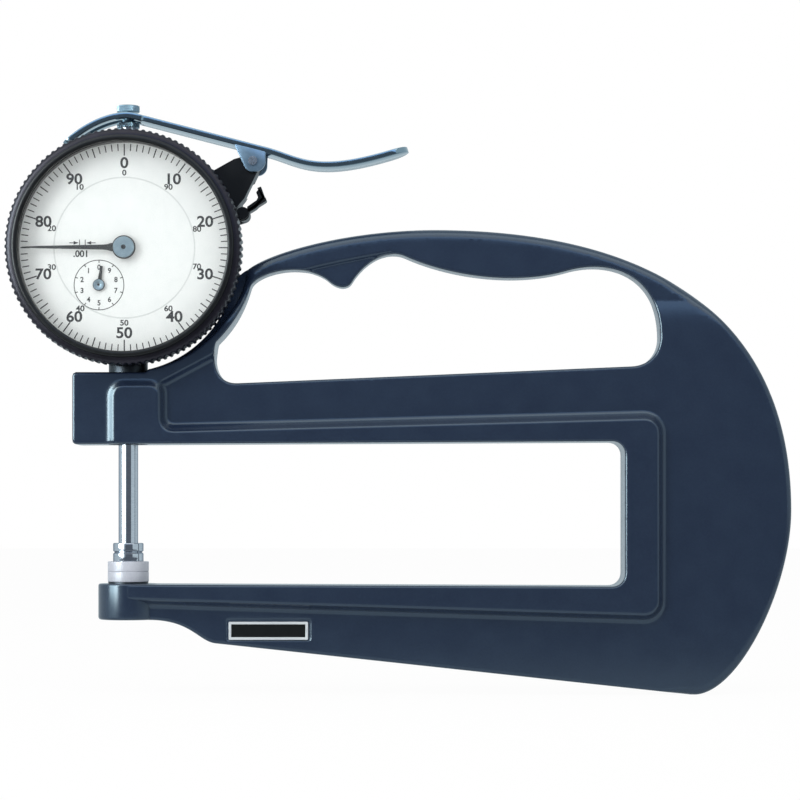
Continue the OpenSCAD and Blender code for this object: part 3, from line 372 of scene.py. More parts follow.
def mottled(name, tones, grain, rough, bump, sockets=None, stretch=(1, 1, 1)):
    """Material with two tones, roughness and bump that vary by noise of a grain size in mm, which stretch
    divides along each axis; bump is the grain's height in mm. Sockets give the shader's constant values."""
    made = bpy.data.materials.new(name)
    made.use_nodes = True
    tree = made.node_tree
    shader = tree.nodes["Principled BSDF"]
    for key, value in (sockets or {}).items():
        shader.inputs[key].default_value = value
    place = add(tree, "ShaderNodeTexCoord").outputs["Object"]
    place = add(tree, "ShaderNodeMapping", None, {"Vector": place, "Scale": stretch}).outputs["Vector"]
    noise = add(tree, "ShaderNodeTexNoise", None,
                {"Vector": place, "Scale": 1 / (grain * MM), "Detail": 4.0})
    cloud = add(tree, "ShaderNodeTexNoise", None,
                {"Vector": place, "Scale": 0.08 / (grain * MM), "Detail": 2.0})
    half = add(tree, "ShaderNodeMath", {"operation": "MULTIPLY"}, {0: cloud.outputs["Fac"], 1: 0.5})
    blend = add(tree, "ShaderNodeMath", {"operation": "MULTIPLY_ADD"},
                {0: noise.outputs["Fac"], 1: 0.5, 2: half.outputs[0]}).outputs[0]
    tint = add(tree, "ShaderNodeValToRGB", None, {"Fac": blend})
    for stop, at, tone in zip(tint.color_ramp.elements, (0.36, 0.64), tones):
        stop.position, stop.color = at, linear(tone)
    tree.links.new(tint.outputs["Color"], shader.inputs["Base Color"])
    spread = add(tree, "ShaderNodeMapRange", None, {"Value": blend, "From Min": 0.3, "From Max": 0.7,
                                                    "To Min": rough[0], "To Max": rough[1]})
    tree.links.new(spread.outputs["Result"], shader.inputs["Roughness"])
    lift = add(tree, "ShaderNodeBump", None, {"Height": noise.outputs["Fac"], "Strength": 1.0,
                                              "Distance": bump * MM})
    tree.links.new(lift.outputs["Normal"], shader.inputs["Normal"])
    return made


# Stove enamel: sprayed and baked paint. It gives a satin slate blue with a fine orange peel of half a
# millimetre and cool, soft highlights
enamel = mottled("satin_stove_enamel", ("#1c273c", "#1f2b40"), 0.5, (0.2, 0.26), 0.003,
                 {"Specular IOR Level": 0.7, "Specular Tint": (0.75, 0.93, 1.0, 1), "Coat Weight": 0.2,
                  "Coat Roughness": 0.15})
# A depth past every rounding, for points that lie on the other outline
FAR = 50.0
CASE_LEDGE_Y = -4
casting = piece("casting", [(*sheet(OUTER, -1), 0), (*sheet(OUTER_BACK, 1), 0),
                            (*wall(OUTER, OUTER_BACK, 0.0, FAR, CASE_LEDGE_Y), 0),
                            (*wall(GRIP_HOLE, GRIP_HOLE, FAR, 0.0, 0), 0)],
                [enamel], "frame", ["frame"])


def bored(made, cutters):
    """Cuts closed cutters (points in mm, faces) out of a piece by an exact Boolean and keeps the result."""
    points, faces = [], []
    for p, f in cutters:
        faces += [[int(v) + sum(map(len, points)) for v in q] for q in f]
        points.append(p)
    mesh = bpy.data.meshes.new("cutter")
    mesh.from_pydata((np.vstack(points) * MM).tolist(), [], faces)
    bm = bmesh.new()
    bm.from_mesh(mesh)
    bmesh.ops.remove_doubles(bm, verts=bm.verts, dist=1e-6)
    bmesh.ops.recalc_face_normals(bm, faces=bm.faces)
    bm.to_mesh(mesh)
    bm.free()
    cutter = bpy.data.objects.new("cutter", mesh)
    bpy.context.scene.collection.objects.link(cutter)
    cut = made.modifiers.new("bore", "BOOLEAN")
    cut.operation, cut.solver, cut.object = "DIFFERENCE", "EXACT", cutter
    done = bpy.data.meshes.new_from_object(made.evaluated_get(bpy.context.evaluated_depsgraph_get()))
    made.modifiers.remove(cut)
    bpy.data.objects.remove(cutter)
    made.data = done
    done.shade_smooth()
    done.set_sharp_from_angle(angle=math.radians(SHARP))


STEM_BORE_R, SCREW_BORE_R, SCREW_Z = 4.82, 2.03, 39.75
stem_bore = turned([(0, 29.5), (STEM_BORE_R, 29.5), (STEM_BORE_R, 50), (0, 50)], 64)
screw_points, screw_faces = turned([(0, 0), (SCREW_BORE_R, 0), (SCREW_BORE_R, 9), (0, 9)], 32)
bored(casting, [stem_bore, (screw_points[:, [0, 2, 1]] + (0, 0, SCREW_Z), screw_faces)])
BOSS_R, BOSS_TOP = 7.3, -2.9
boss = rounded([(0, JAW_LOW, 0), (BOSS_R, JAW_LOW, 0.7), (BOSS_R, BOSS_TOP, 0.5), (0, BOSS_TOP, 0)])
piece("jaw_boss", [(*turned(boss, 96), 0)], [enamel], "frame")


# Plate on the lower arm. A small pressed aluminium plate with a bright raised border and a black field,
# cemented in a shallow pocket of the casting. Its field is bare.
PLATE_X, PLATE_Z = (24.85, 44.15), (-16.5, -12.1)


def plate(rows):
    """Closed plate from rows (outline, y) with as many points each: each row is an outline at a depth, and
    the first and the last row are filled."""
    n = len(rows[0][0])
    points = np.vstack([np.stack([loop[:, 0], np.full(n, y), loop[:, 1]], 1) for loop, y in rows])
    last = (len(rows) - 1) * n
    return points, grid_faces(len(rows), n).tolist() + [list(range(n)), list(range(last, last + n))]


def plate_loop(inset):
    """Outline of the plate moved inwards by an inset, with corners of 0.3 mm that sharpen inwards."""
    r = max(0.3 - inset, 0.06)
    x0, x1 = PLATE_X[0] + inset, PLATE_X[1] - inset
    z0, z1 = PLATE_Z[0] + inset, PLATE_Z[1] - inset
    return rounded([(x0, z0, r), (x0, z1, r), (x1, z1, r), (x1, z0, r)])


# Aluminium, polished on the border: bright, with a faint rolled grain along the plate
bright_aluminium = mottled("polished_aluminium", ("#d3d8dc", "#e6eaec"), 0.08, (0.3, 0.4), 0.0006,
                           {"Metallic": 0.4}, (0.1, 1, 1))
# Printing ink, screened on the field: near black and half matt
plate_ink = mottled("black_plate_ink", ("#040506", "#090a0b"), 0.2, (0.4, 0.5), 0.001,
                    {"Specular IOR Level": 0.2})
# Insets and depths of the rows: the rim and the border, then the field
border_rows = [(0.05, -4.3), (0, -4.35), (0, -4.82), (0.08, -4.9), (0.55, -4.9)]
field_rows = [(0.64, -4.78), (0.68, -4.76), (0.9, -4.76)]
plate_points, plate_faces = plate([(plate_loop(inset), y) for inset, y in border_rows + field_rows])
border = len(border_rows) * len(plate_loop(0))
piece("bare_plate", [(plate_points, plate_faces[:border] + plate_faces[-2:-1], 0),
                     (plate_points, plate_faces[border:-2] + plate_faces[-1:], 1)],
      [bright_aluminium, plate_ink], "frame", ["nameplate"])

# Measuring faces. Two ground discs of white sintered alumina: the lower one on a steel seat pressed in the
# jaw, the upper one cemented under the spindle's collar. They touch at rest.
DISC_R, DISC_H, DISC_EDGE = 5, 2.5, 0.18
# Alumina, sintered and ground: a cold, dense white with a soft sheen
ceramic = mottled("ground_alumina", ("#b3b8c3", "#c0c5cf"), 0.3, (0.3, 0.4), 0.0004, {"IOR": 1.76})
for disc_name, low, body, node in (("lower_face", -DISC_H, "frame", "anvil_disc"),
                                   ("upper_face", 0, "spindle", "contact_disc")):
    disc = rounded([(0, low, 0), (DISC_R, low, DISC_EDGE), (DISC_R, low + DISC_H, DISC_EDGE),
                    (0, low + DISC_H, 0)])
    piece(disc_name, [(*turned(disc, 96), 0)], [ceramic], body, [node])


def dress(material, *names):
    """Gives CAD nodes whose shape is right their finish."""
    for name in names:
        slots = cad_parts[name].data.materials
        slots.clear()
        slots.append(material)


# Steel, blackened and oiled: dark grey with dull streaks of light
dark_steel = mottled("oiled_dark_steel", ("#33363a", "#44484c"), 0.2, (0.32, 0.45), 0.0008, {"Metallic": 1.0})
dress(dark_steel, "anvil_seat", "stem_set_screw", "bracket_screws")

# Spindle, stem and collar. The spindle and its collar are ground steel with hard chrome, and a V groove is
# turned round the collar; the spindle slides in a bush in the dark steel stem, which the head clamps.
# Hard chrome, ground: a mirror with a cold tint and fine lines that run round
chrome = mottled("hard_chrome", ("#bcc1c8", "#d2d6db"), 0.12, (0.05, 0.1), 0.0002,
                 {"Metallic": 1.0, "Specular Tint": (0.3, 0.32, 0.37, 1)}, (1, 1, 6))
dress(chrome, "spindle", "upper_bush")
dress(dark_steel, "stem")
COLLAR_R, COLLAR_LOW, COLLAR_TOP = 3.7, 2.5, 7
collar = rounded([(0, COLLAR_LOW, 0), (COLLAR_R, COLLAR_LOW, 0.15), (COLLAR_R, 4.4, 0.08), (3.3, 4.75, 0.08),
                  (COLLAR_R, 5.1, 0.08), (COLLAR_R, COLLAR_TOP, 0.3), (0, COLLAR_TOP, 0)])
piece("collar", [(*turned(collar, 96), 0)], [chrome], "spindle", ["contact_collar"])

# Lift cap. A turned steel spool on the spindle's upper end, chromed, with a diamond knurl rolled on both
# flanges; the lever's prongs lie in its waist.
CAP_Z, CAP_R, CAP_WAIST_R, CAP_EDGE_R, CAP_STEPS = 108.4, 2.8, 1.35, 2.6, 216
WAIST_LOW, WAIST_TOP, CAP_TOP = 1.4, 3.9, 5.6
KNURL_TURNS, KNURL_LEAD, KNURL_DEPTH = 14, 4.4, 0.17
flange = np.stack([np.full(13, CAP_R), np.linspace(0.12, 1.28, 13)], 1)
crown = np.stack([np.full(15, CAP_R), WAIST_TOP + np.linspace(0.12, 1.5, 15)], 1)
cap = np.vstack([[(0, 0), (CAP_EDGE_R, 0)], flange,
                 [(CAP_EDGE_R, WAIST_LOW), (CAP_WAIST_R, WAIST_LOW), (CAP_WAIST_R, WAIST_TOP),
                  (CAP_EDGE_R, WAIST_TOP)], crown, [(2.5, 5.56), (2.1, CAP_TOP), (0, CAP_TOP)]])
cap_r, cap_h, cap_a = lathe(cap, CAP_STEPS)
# Two crossed sets of grooves: the absolute sines of turns times angle plus and minus lead times height
knurl = (2 - np.abs(np.sin(KNURL_TURNS * cap_a + KNURL_LEAD * cap_h))
         - np.abs(np.sin(KNURL_TURNS * cap_a - KNURL_LEAD * cap_h)))
cap_r = cap_r - np.where(cap_r > CAP_EDGE_R + 0.1, KNURL_DEPTH * knurl, 0)
# Bright chrome on pressed or knurled steel: a cool, slightly hazy mirror
bright_chrome = mottled("pressed_bright_chrome", ("#889ca7", "#90a4ae"), 0.1, (0.1, 0.14), 0.0003,
                        {"Metallic": 1.0})
piece("lift_cap_spool", [(about_spindle(cap_r, cap_h + CAP_Z, cap_a), grid_faces(len(cap), CAP_STEPS), 0)],
      [bright_chrome], "spindle", ["lift_cap"])

# Case. A turned aluminium drum, painted black, closed at the back by a cover that sits on a rubber ring and
# is held by four screws. The spindle's guides and the movement are fixed in it.
# Paint, sprayed on aluminium: black, half matt, with a fine peel
case_paint = mottled("black_case_paint", ("#17181a", "#202224"), 0.35, (0.35, 0.48), 0.002)
dress(case_paint, "case", "back_cover")
# Nitrile rubber, moulded: black and dull
rubber = mottled("nitrile_rubber", ("#0d0d0e", "#161617"), 0.3, (0.6, 0.75), 0.003)
dress(rubber, "cover_gasket")
# Steel, turned or drawn bright: a light grey metal with fine tool marks
steel = mottled("turned_steel", ("#a9adb2", "#c1c4c8"), 0.1, (0.2, 0.3), 0.0005, {"Metallic": 1.0})
dress(steel, "back_cover_screws", "lever_pin", "guide_pin", "spring_pin", "spring_post", "return_spring",
      "plate_screws", "movement_screws", "takeup_arbor", "counter_arbor", "bezel_wire")

# Movement. Brass plates, pillars and wheels inside the case, screwed together, with a blued hairspring on
# the take-up arbor. The dial hides them.
# Brass, brushed along the plates: warm yellow with a directional sheen
brass = mottled("brushed_brass", ("#b08d4c", "#c8a562"), 0.25, (0.25, 0.38), 0.001, {"Metallic": 1.0},
                (0.2, 1, 1))
dress(brass, "movement_plate", "movement_bridge", "rear_plate", "bridge_pillars", "rear_pillars", "dial_feet",
      "rack_pinion", "counter_wheel", "takeup_wheel", "hairspring_stud", "stem_bush")
# Spring steel, blued by heat: a deep, shiny blue
blued_steel = mottled("blued_spring_steel", ("#232c52", "#34406e"), 0.2, (0.2, 0.3), 0.0005,
                      {"Metallic": 1.0})
dress(blued_steel, "hairspring")

# Bezel. A turned aluminium ring, anodised purple-black, with 108 rounded ridges to turn it by, a groove and
# a plain lip that holds the crystal. It turns on the case with the outer scale.
RIDGES = 108
RING_STEPS = RIDGES * 10
RIDGE_DEPTH, BEZEL_R = 0.42, 28.496


def about_dial(r, h, a):
    """Points at radius r, depth h and clockwise angle a from the top, about the dial's axis."""
    return np.stack([r * np.sin(a), h, DIAL[1] + r * np.cos(a)], -1).reshape(-1, 3)


# Aluminium, anodised and dyed: purple-black with a silky sheen on the ridges
anodised = mottled("purple_black_anodised_aluminium", ("#15121c", "#1e1a27"), 0.3, (0.3, 0.4), 0.0015,
                   {"Metallic": 0.35})
# The same finish on the smooth lip: plain black with a narrow highlight
lip_black = mottled("black_anodised_lip", ("#0f1010", "#191a1a"), 0.3, (0.28, 0.38), 0.001, {"Metallic": 0.3})
# Section of the ring (radius, depth): the lip, the ridged band and the inside; then each row's share of a
# ridge's depth
lip = [(25.2, -13.9), (25.2, -14.75), (25.28, -14.97), (25.5, -15.1), (26.25, -15.1), (26.5, -14.98),
       (26.6, -14.7), (26.6, -14.1)]
band = [(26.7, -13.95), (27.2, -13.9), (27.5, -13.8), (27.95, -13.55), (28.25, -13.25), (28.45, -12.8),
        (28.5, -12.3), (28.5, -9.3), (28.5, -6.3), (28.4, -5.75), (28.2, -5.35), (27.9, -5.05), (27.5, -5.0)]
inside = [(26.45, -5.0), (26.4, -5.1), (26.4, -13.85)]
share = np.array([0] * 11 + [0.1, 0.45, 0.85, 1, 1, 1, 0.9, 0.6, 0.2, 0, 0, 0, 0])[:, None]
ring_r, ring_h, ring_a = lathe(lip + band + inside, RING_STEPS)
ridge = smooth(0.5 + 0.75 * np.cos(RIDGES * ring_a))
ring_r = np.minimum(ring_r - RIDGE_DEPTH * share * (1 - ridge), BEZEL_R)
ring_points = about_dial(ring_r, ring_h, ring_a)
ring_faces = grid_faces(len(ring_r), RING_STEPS, True)
first, last = len(lip) * RING_STEPS, -len(inside) * RING_STEPS
piece("knurled_bezel", [(ring_points, np.vstack([ring_faces[:first], ring_faces[last:]]), 1),
                        (ring_points, ring_faces[first:last], 0)],
      [anodised, lip_black], "bezel", ["bezel"], 50)
dress(lip_black, "crystal_ring", "scale_retainer")

# Crystal. A flat disc of clear acrylic, polished and pressed in the bezel behind its lip, with a black ring
# under it. It turns with the bezel.
# Acrylic, cast and polished: nearly invisible, with a faint haze where it mirrors the room
acrylic = bpy.data.materials.new("clear_acrylic")
acrylic.use_nodes = True
acrylic_tree = acrylic.node_tree
acrylic_shader = acrylic_tree.nodes["Principled BSDF"]
for key, value in (("Base Color", linear("#f4f7f8")), ("IOR", 1.49), ("Alpha", 0.025)):
    acrylic_shader.inputs[key].default_value = value
acrylic_place = add(acrylic_tree, "ShaderNodeTexCoord").outputs["Object"]
HAZE_GRAIN = 5
acrylic_haze = add(acrylic_tree, "ShaderNodeTexNoise", None,
                   {"Vector": acrylic_place, "Scale": 1 / (HAZE_GRAIN * MM)})
acrylic_spread = add(acrylic_tree, "ShaderNodeMapRange", None,
                     {"Value": acrylic_haze.outputs["Fac"], "To Min": 0.02, "To Max": 0.06})
acrylic_tree.links.new(acrylic_spread.outputs["Result"], acrylic_shader.inputs["Roughness"])
dress(acrylic, "crystal")

# Dial. Two aluminium discs with baked white lacquer: the scale ring turns with the bezel, the centre is
# fixed. The scale is printed in black: a hundred marks, large numbers one way round and small ones the other.
PRINT_Y = -9.63
# Lacquer, sprayed and baked: a clean, half-matt white
dial_white = mottled("white_dial_lacquer", ("#e4e9e7", "#eaeeec"), 0.25, (0.35, 0.45), 0.0006)
dress(dial_white, "scale_ring", "centre_dial")
# Printing ink, pad printed: near black and matt
ink = mottled("black_dial_ink", ("#0d0f11", "#15181b"), 0.15, (0.4, 0.5), 0.0005)


def letters(text, height, bold=0.024):
    """Plain upright letters as flat faces, centred on their box, of a height in mm; bold widens strokes."""
    curve = bpy.data.curves.new("letters", "FONT")
    curve.body, curve.resolution_u, curve.offset = text, 6, bold
    shown = bpy.data.objects.new("letters", curve)
    bpy.context.scene.collection.objects.link(shown)
    solid = shown.evaluated_get(bpy.context.evaluated_depsgraph_get()).to_mesh()
    p = np.zeros(3 * len(solid.vertices))
    solid.vertices.foreach_get("co", p)
    p = p.reshape(-1, 3)[:, :2]
    f = [list(q.vertices) for q in solid.polygons]
    bpy.data.objects.remove(shown)
    bpy.data.curves.remove(curve)
    p = p - (p.min(0) + p.max(0)) / 2
    return p * height / np.ptp(p[:, 1]), f


def printed(marks):
    """Flat marks (points from the dial's centre, faces) set just in front of the dial's face."""
    return [(np.stack([p[:, 0], np.full(len(p), PRINT_Y), DIAL[1] + p[:, 1]], 1), f, 0) for p, f in marks]


def bars(angle, r0, r1, width):
    """Straight radial marks: each is a quad along its direction, clockwise from the top."""
    a = np.radians(np.asarray(angle, float))[:, None]
    out, side = np.hstack([np.sin(a), np.cos(a)]), np.hstack([np.cos(a), -np.sin(a)]) * width / 2
    q = np.stack([out * r0 - side, out * r0 + side, out * r1 + side, out * r1 - side], 1)
    return q.reshape(-1, 2), np.arange(4 * len(a)).reshape(-1, 4)


def hoop(r, width, n=120):
    """Thin printed circle: a band between two radii."""
    a = np.linspace(0, 2 * np.pi, n, endpoint=False)
    unit = np.stack([np.cos(a), np.sin(a)], 1)
    return np.vstack([unit * (r + width / 2), unit * (r - width / 2)]), grid_faces(2, n)[:, ::-1]


def quad(x0, x1, z0, z1):
    """Upright printed rectangle."""
    return np.array([(x0, z0), (x1, z0), (x1, z1), (x0, z1)]), [[0, 1, 2, 3]]


def clockwise(degrees):
    """Unit vector in a direction clockwise from the top."""
    return np.array([math.sin(math.radians(degrees)), math.cos(math.radians(degrees))])


# Marks: where single, fifth and tenth ones begin, how wide they are, and the radius where all of them end
MARK_END = 25.05
step = np.arange(100)
scale = [bars(3.6 * step[step % 5 != 0], 23.35, MARK_END, 0.24),
         bars(3.6 * step[step % 10 == 5], 22.75, MARK_END, 0.27),
         bars(3.6 * step[step % 10 == 0], 22.2, MARK_END, 0.3)]
# Numbers: radius and height of the large and the small ones; some small ones lean away from the large ones
LARGE_R, LARGE_H, SMALL_R, SMALL_H = 20.5, 2.7, 18.1, 1.42
lean = {2: 3.5, 3: -3.5, 7: 3, 8: -3}
for tens in range(10):
    for text, r, high, a in ((str(10 * tens), LARGE_R, LARGE_H, 36 * tens),
                             (str((100 - 10 * tens) % 100), SMALL_R, SMALL_H, 36 * tens + lean.get(tens, 0))):
        p, f = letters(text, high)
        scale.append((p * (1.1, 1) + r * clockwise(a), f))
piece("scale_print", printed(scale), [ink], "bezel", closed=False)

# The counter's small scale, from the dial's centre, with its digits the other way round
COUNTER = np.array([-6.1, -9.0])
COUNTER_R, DIGIT_R, DIGIT_H = 6.0, 4.3, 1.3
marks = [(p + COUNTER, f) for p, f in (hoop(COUNTER_R, 0.18),
                                       bars(36 * np.arange(10), 5.35, COUNTER_R, 0.2))]
for digit in range(10):
    p, f = letters(str(digit), DIGIT_H)
    marks.append((p * (0.95, 1) + COUNTER + DIGIT_R * clockwise(-36 * digit), f))
# The value of one mark, under two lines with arrows that point at the gap between them
p, f = letters(".001", 1.65)
marks.append((p + (-10.6, -1.45), f))
GAP_X, GAP_HALF, HALF_STROKE, ARROW_Z = -10.1, 0.68, 0.09, 1.17
for side in (-1, 1):
    x = GAP_X + side * GAP_HALF
    marks.append(quad(x - HALF_STROKE, x + HALF_STROKE, 0.4, 1.95))
    head = np.array([(x + side * 0.25, ARROW_Z), (x + side * 1.45, 1.6), (x + side * 1.45, 0.74)])
    marks.append((head, [[0, 2, 1] if side > 0 else [0, 1, 2]]))
    shaft = sorted((x + side * 1.3, x + side * 2.5))
    marks.append(quad(*shaft, ARROW_Z - HALF_STROKE, ARROW_Z + HALF_STROKE))
piece("centre_print", printed(marks), [ink], "frame", closed=False)
# Painted shade on the edge of the centre disc: a faint grey band printed over its seam with the scale ring,
# for the light shadow along the edge
edge_shadow = mottled("grey_painted_edge_shadow", ("#ccd2d0", "#d6dbd9"), 0.3, (0.4, 0.5), 0.0005)
piece("centre_edge_shadow", printed([hoop(16.96, 0.34, 200)]), [edge_shadow], "frame", closed=False)

# Hands. Thin steel stampings lacquered black; the long one flares at its root and is riveted to a grey steel
# hub on the pointer's arbor, the short one has a small hub of its own on the counter's arbor.
# Lacquer on steel: black, with a soft sheen
hand_lacquer = mottled("black_hand_lacquer", ("#151a1b", "#1e2425"), 0.2, (0.3, 0.42), 0.0006)
half_blade = np.array([(24.5, 0.1), (20, 0.3), (12, 0.46), (5, 0.6), (3.9, 0.72), (3, 1.0)])
blade = np.vstack([half_blade * (-1, 1), arc((0, 0), 2.85, 160, -160, 60), (half_blade * (-1, -1))[::-1]])
blade_rows = [(0.04, -10.85), (0, -10.89), (0, -11.06), (0.04, -11.1)]
piece("pointer_blade", [(*plate([(beside(blade, [-inset]) + DIAL, y) for inset, y in blade_rows]), 0)],
      [hand_lacquer], "pointer", ["main_pointer"])
# Steel, turned and dulled: a flat blue grey
hub_steel = mottled("grey_hub_steel", ("#7b909a", "#8da1aa"), 0.12, (0.35, 0.45), 0.0008, {"Metallic": 0.6})
hub = [(0.55, -11.1), (2.5, -11.1), (2.55, -11.15), (2.55, -11.66), (2.45, -11.8), (0.6, -11.8),
       (0.55, -11.75)]
piece("pointer_hub_disc", [(*turned(hub, 72, about_dial, True), 0)], [hub_steel], "pointer",
      ["pointer_hub"])
dress(dark_steel, "centre_arbor")
HAND_LEAN = math.radians(9)
short = np.vstack([[(-0.26, 4.6), (0.26, 4.6), (0.44, 1.4)], arc((0, 0), 1.45, 72, -252, 60), [(-0.44, 1.4)]])
leaning = np.array([[math.cos(HAND_LEAN), -math.sin(HAND_LEAN)], [math.sin(HAND_LEAN), math.cos(HAND_LEAN)]])
short = short @ leaning + COUNTER + DIAL
short_rows = [(0.03, -9.95), (0, -9.98), (0, -10.17), (0.03, -10.2)]
# The small hub's profile: a steel button, then the dark dimple in its middle
button = [(0, -10.2), (1.3, -10.2), (1.3, -10.42), (1.22, -10.5)]
dimple = [(0.3, -10.5), (0.24, -10.46), (0, -10.46)]
HUB_STEPS = 48
hub_points, hub_faces = turned(button + dimple, HUB_STEPS, about_dial)
hub_points = hub_points + (COUNTER[0], 0, COUNTER[1])
button_end = len(button) * HUB_STEPS
piece("counter_hand_blade", [(*plate([(beside(short, [-inset]), y) for inset, y in short_rows]), 0),
                             (hub_points, hub_faces[:button_end], 1),
                             (hub_points, hub_faces[button_end:], 0)],
      [hand_lacquer, hub_steel], "counter", ["counter_hand"])

# Lift lever. Spring steel sheet, pressed and chromed: two prongs curved as an involute round the pivot, two
# ears folded down on the pivot pin, and a dished rest for the thumb.
PIVOT = np.array([30.702, 99.902])
SHEET, CORNER = 1.4, 0.22
# Height of the waist's middle over the pivot at rest
RISE = CAP_Z + WAIST_LOW + 1.25 - PIVOT[1]


def prong(turn):
    """Involute: the tangent point runs round a circle through the spindle axis while a line winds off it."""
    a = np.radians(turn)
    h = RISE + PIVOT[0] * a
    return np.stack([PIVOT[0] * (1 - np.cos(a)) - h * np.sin(a),
                     PIVOT[1] - PIVOT[0] * np.sin(a) + h * np.cos(a)], 1)


def along(path, pace):
    """Open path with points at an even pace along its length."""
    s = np.r_[0, np.cumsum(np.hypot(*np.diff(path, axis=0).T))]
    t = np.linspace(0, s[-1], int(s[-1] / pace) + 2)
    return np.stack([np.interp(t, s, path[:, 0]), np.interp(t, s, path[:, 1])], 1)


def strap(path, half, middle, dish):
    """Strap carried along a path: the section is a rectangle of a half width and the sheet's thickness with
    rounded corners, and its middle sinks by dish times (1 - (y / half) squared)."""
    d = np.gradient(path, axis=0)
    n = np.stack([-d[:, 1], d[:, 0]], 1) / np.linalg.norm(d, axis=1)[:, None]
    phi = np.radians(90 * np.arange(4)[:, None] + np.linspace(0, 90, 5)).ravel()
    right = np.repeat([1, -1, -1, 1], 5)
    up = np.repeat([1, 1, -1, -1], 5)
    y = right * (half[:, None] - CORNER) + CORNER * np.cos(phi)
    sag = dish[:, None] * (1 - np.minimum(y / half[:, None], 1) ** 2)
    lift = up * (SHEET / 2 - CORNER) + CORNER * np.sin(phi) - sag
    flat = path[:, None] + lift[:, :, None] * n[:, None]
    points = np.stack([flat[:, :, 0], y + middle, flat[:, :, 1]], -1).reshape(-1, 3)
    around, last = len(phi), len(phi) * (len(path) - 1)
    ends = [list(range(around)), list(range(last, last + around))]
    return points, grid_faces(len(path), around).tolist() + ends


# Middle line, from the prongs' tips over the spindle, down a straight slope to the thumb's end
KNEE_TURN, TIP_TURN, PACE = -14.5, 43, 0.6
knee = prong(np.array([KNEE_TURN]))[0]
slope = np.array([math.cos(math.radians(KNEE_TURN)), math.sin(math.radians(KNEE_TURN))])
bend, thumb = knee + 33 * slope, PIVOT + (37.7, 3.3)
tail = cubic(bend, bend + 9 * slope, PIVOT + (14.7, -4.3), thumb, 40)
lever_line = along(np.vstack([prong(np.linspace(TIP_TURN, KNEE_TURN, 60)), tail, [thumb]]), PACE)
# The prongs and the rest overlap between these two places, where the prongs narrow and run into the rest
JOIN_FROM, JOIN_TO = 2.9, 4.4
PRONG_HALF, PRONG_Y, REST_HALF = 1.65, 3.35, 5
DISH, DISH_FROM, DISH_LENGTH = 0.5, 42, 14
fork = lever_line[lever_line[:, 0] < JOIN_TO]
rest = lever_line[lever_line[:, 0] > JOIN_FROM]
join = smooth((lever_line[:, 0] - JOIN_FROM) / (JOIN_TO - JOIN_FROM))


def round_end(reach, radius, least):
    """Share of the half width at a distance from a round end: the root of 1 minus (1 - reach / r) squared."""
    return np.sqrt(np.clip(1 - (1 - np.minimum(reach / radius, 1)) ** 2, least, 1))


fork_half = PRONG_HALF * round_end(PACE * np.arange(len(fork)), 1.8, 0.08)
rest_half = REST_HALF * round_end(PACE * np.arange(len(rest))[::-1], 4.2, 0.012)
rest_dish = DISH * smooth((rest[:, 0] - DISH_FROM) / DISH_LENGTH) * rest_half / REST_HALF
fork_half *= 1 - 0.12 * join[:len(fork)]
rest_half *= 0.95 + 0.05 * join[-len(rest):]
lever_shells = [(*strap(fork, fork_half, y, np.zeros(len(fork))), 0) for y in (-PRONG_Y, PRONG_Y)]
lever_shells.append((*strap(rest, rest_half, 0, rest_dish), 0))
ear = rounded([(26.07, 104.2, 0.4), (33.9, 102.3, 0.4), (33.7, 97.5, 2.4), (29.3, 97.2, 1.8)])
for y in (-5, 3.8):
    ear_rows = [(0.2, y), (0.06, y + 0.06), (0, y + 0.2), (0, y + 1), (0.06, y + 1.14), (0.2, y + 1.2)]
    lever_shells.append((*plate([(beside(ear, [-inset]), depth) for inset, depth in ear_rows]), 1))
# Chrome over a satin ground, on the ears: an even blue grey
satin_chrome = mottled("satin_chrome", ("#6c879e", "#7a94a9"), 0.2, (0.25, 0.35), 0.0006, {"Metallic": 0.6})
piece("chrome_lever", lever_shells, [bright_chrome, satin_chrome], "lift_lever", ["lift_lever"])


# Bracket and bezel clamp. Die-cast zinc and bent steel strip, both in black enamel: the bracket is screwed to
# the case and carries the lever's pin, the clamp turns on its own pin and locks the bezel.
FOLD = math.radians(30)


def softened(node, width, material, body):
    """Copy of a CAD node with its triangles merged into faces and its edges rounded by a Bevel."""
    bm = bmesh.new()
    bm.from_mesh(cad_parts[node].data)
    bmesh.ops.remove_doubles(bm, verts=bm.verts, dist=1e-6)
    bmesh.ops.dissolve_limit(bm, angle_limit=math.radians(2), verts=bm.verts, edges=bm.edges)
    mesh = bpy.data.meshes.new(node + "_soft")
    bm.to_mesh(mesh)
    bm.free()
    mesh.shade_smooth()
    mesh.set_sharp_from_angle(angle=FOLD)
    mesh.materials.append(material)
    made = bpy.data.objects.new(node + "_soft", mesh)
    bpy.context.scene.collection.objects.link(made)
    bevel = made.modifiers.new("edge", "BEVEL")
    bevel.width, bevel.segments, bevel.limit_method = width * MM, 3, "ANGLE"
    bevel.angle_limit = FOLD
    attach(made, body)
    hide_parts(node)


# Stove enamel, sprayed thick: a deep black that rounds every edge, with a dull gloss
black_enamel = mottled("black_stove_enamel", ("#060607", "#0c0c0d"), 0.35, (0.3, 0.42), 0.002,
                       {"Specular IOR Level": 0.3})
softened("lever_bracket", 0.25, black_enamel, "frame")
softened("bezel_clamp", 0.18, black_enamel, "bezel_clamp")
bar = rounded([(31.47, 92.34, 0.3), (32.3, 93.35, 0.3), (34.15, 90.4, 0.5), (29.3, 87.35, 0.1),
               (29.3, 88.85, 0.2), (31.6, 90.44, 0.5), (31.95, 91.12, 0.3)])
bar_rows = [(0.1, -4.1), (0, -4), (0, 0), (0.1, 0.1)]
piece("clamp_bar", [(*plate([(beside(bar, [-inset]), y) for inset, y in bar_rows]), 0)], [black_enamel],
      "bezel_clamp")
dress(black_enamel, "clamp_pin")

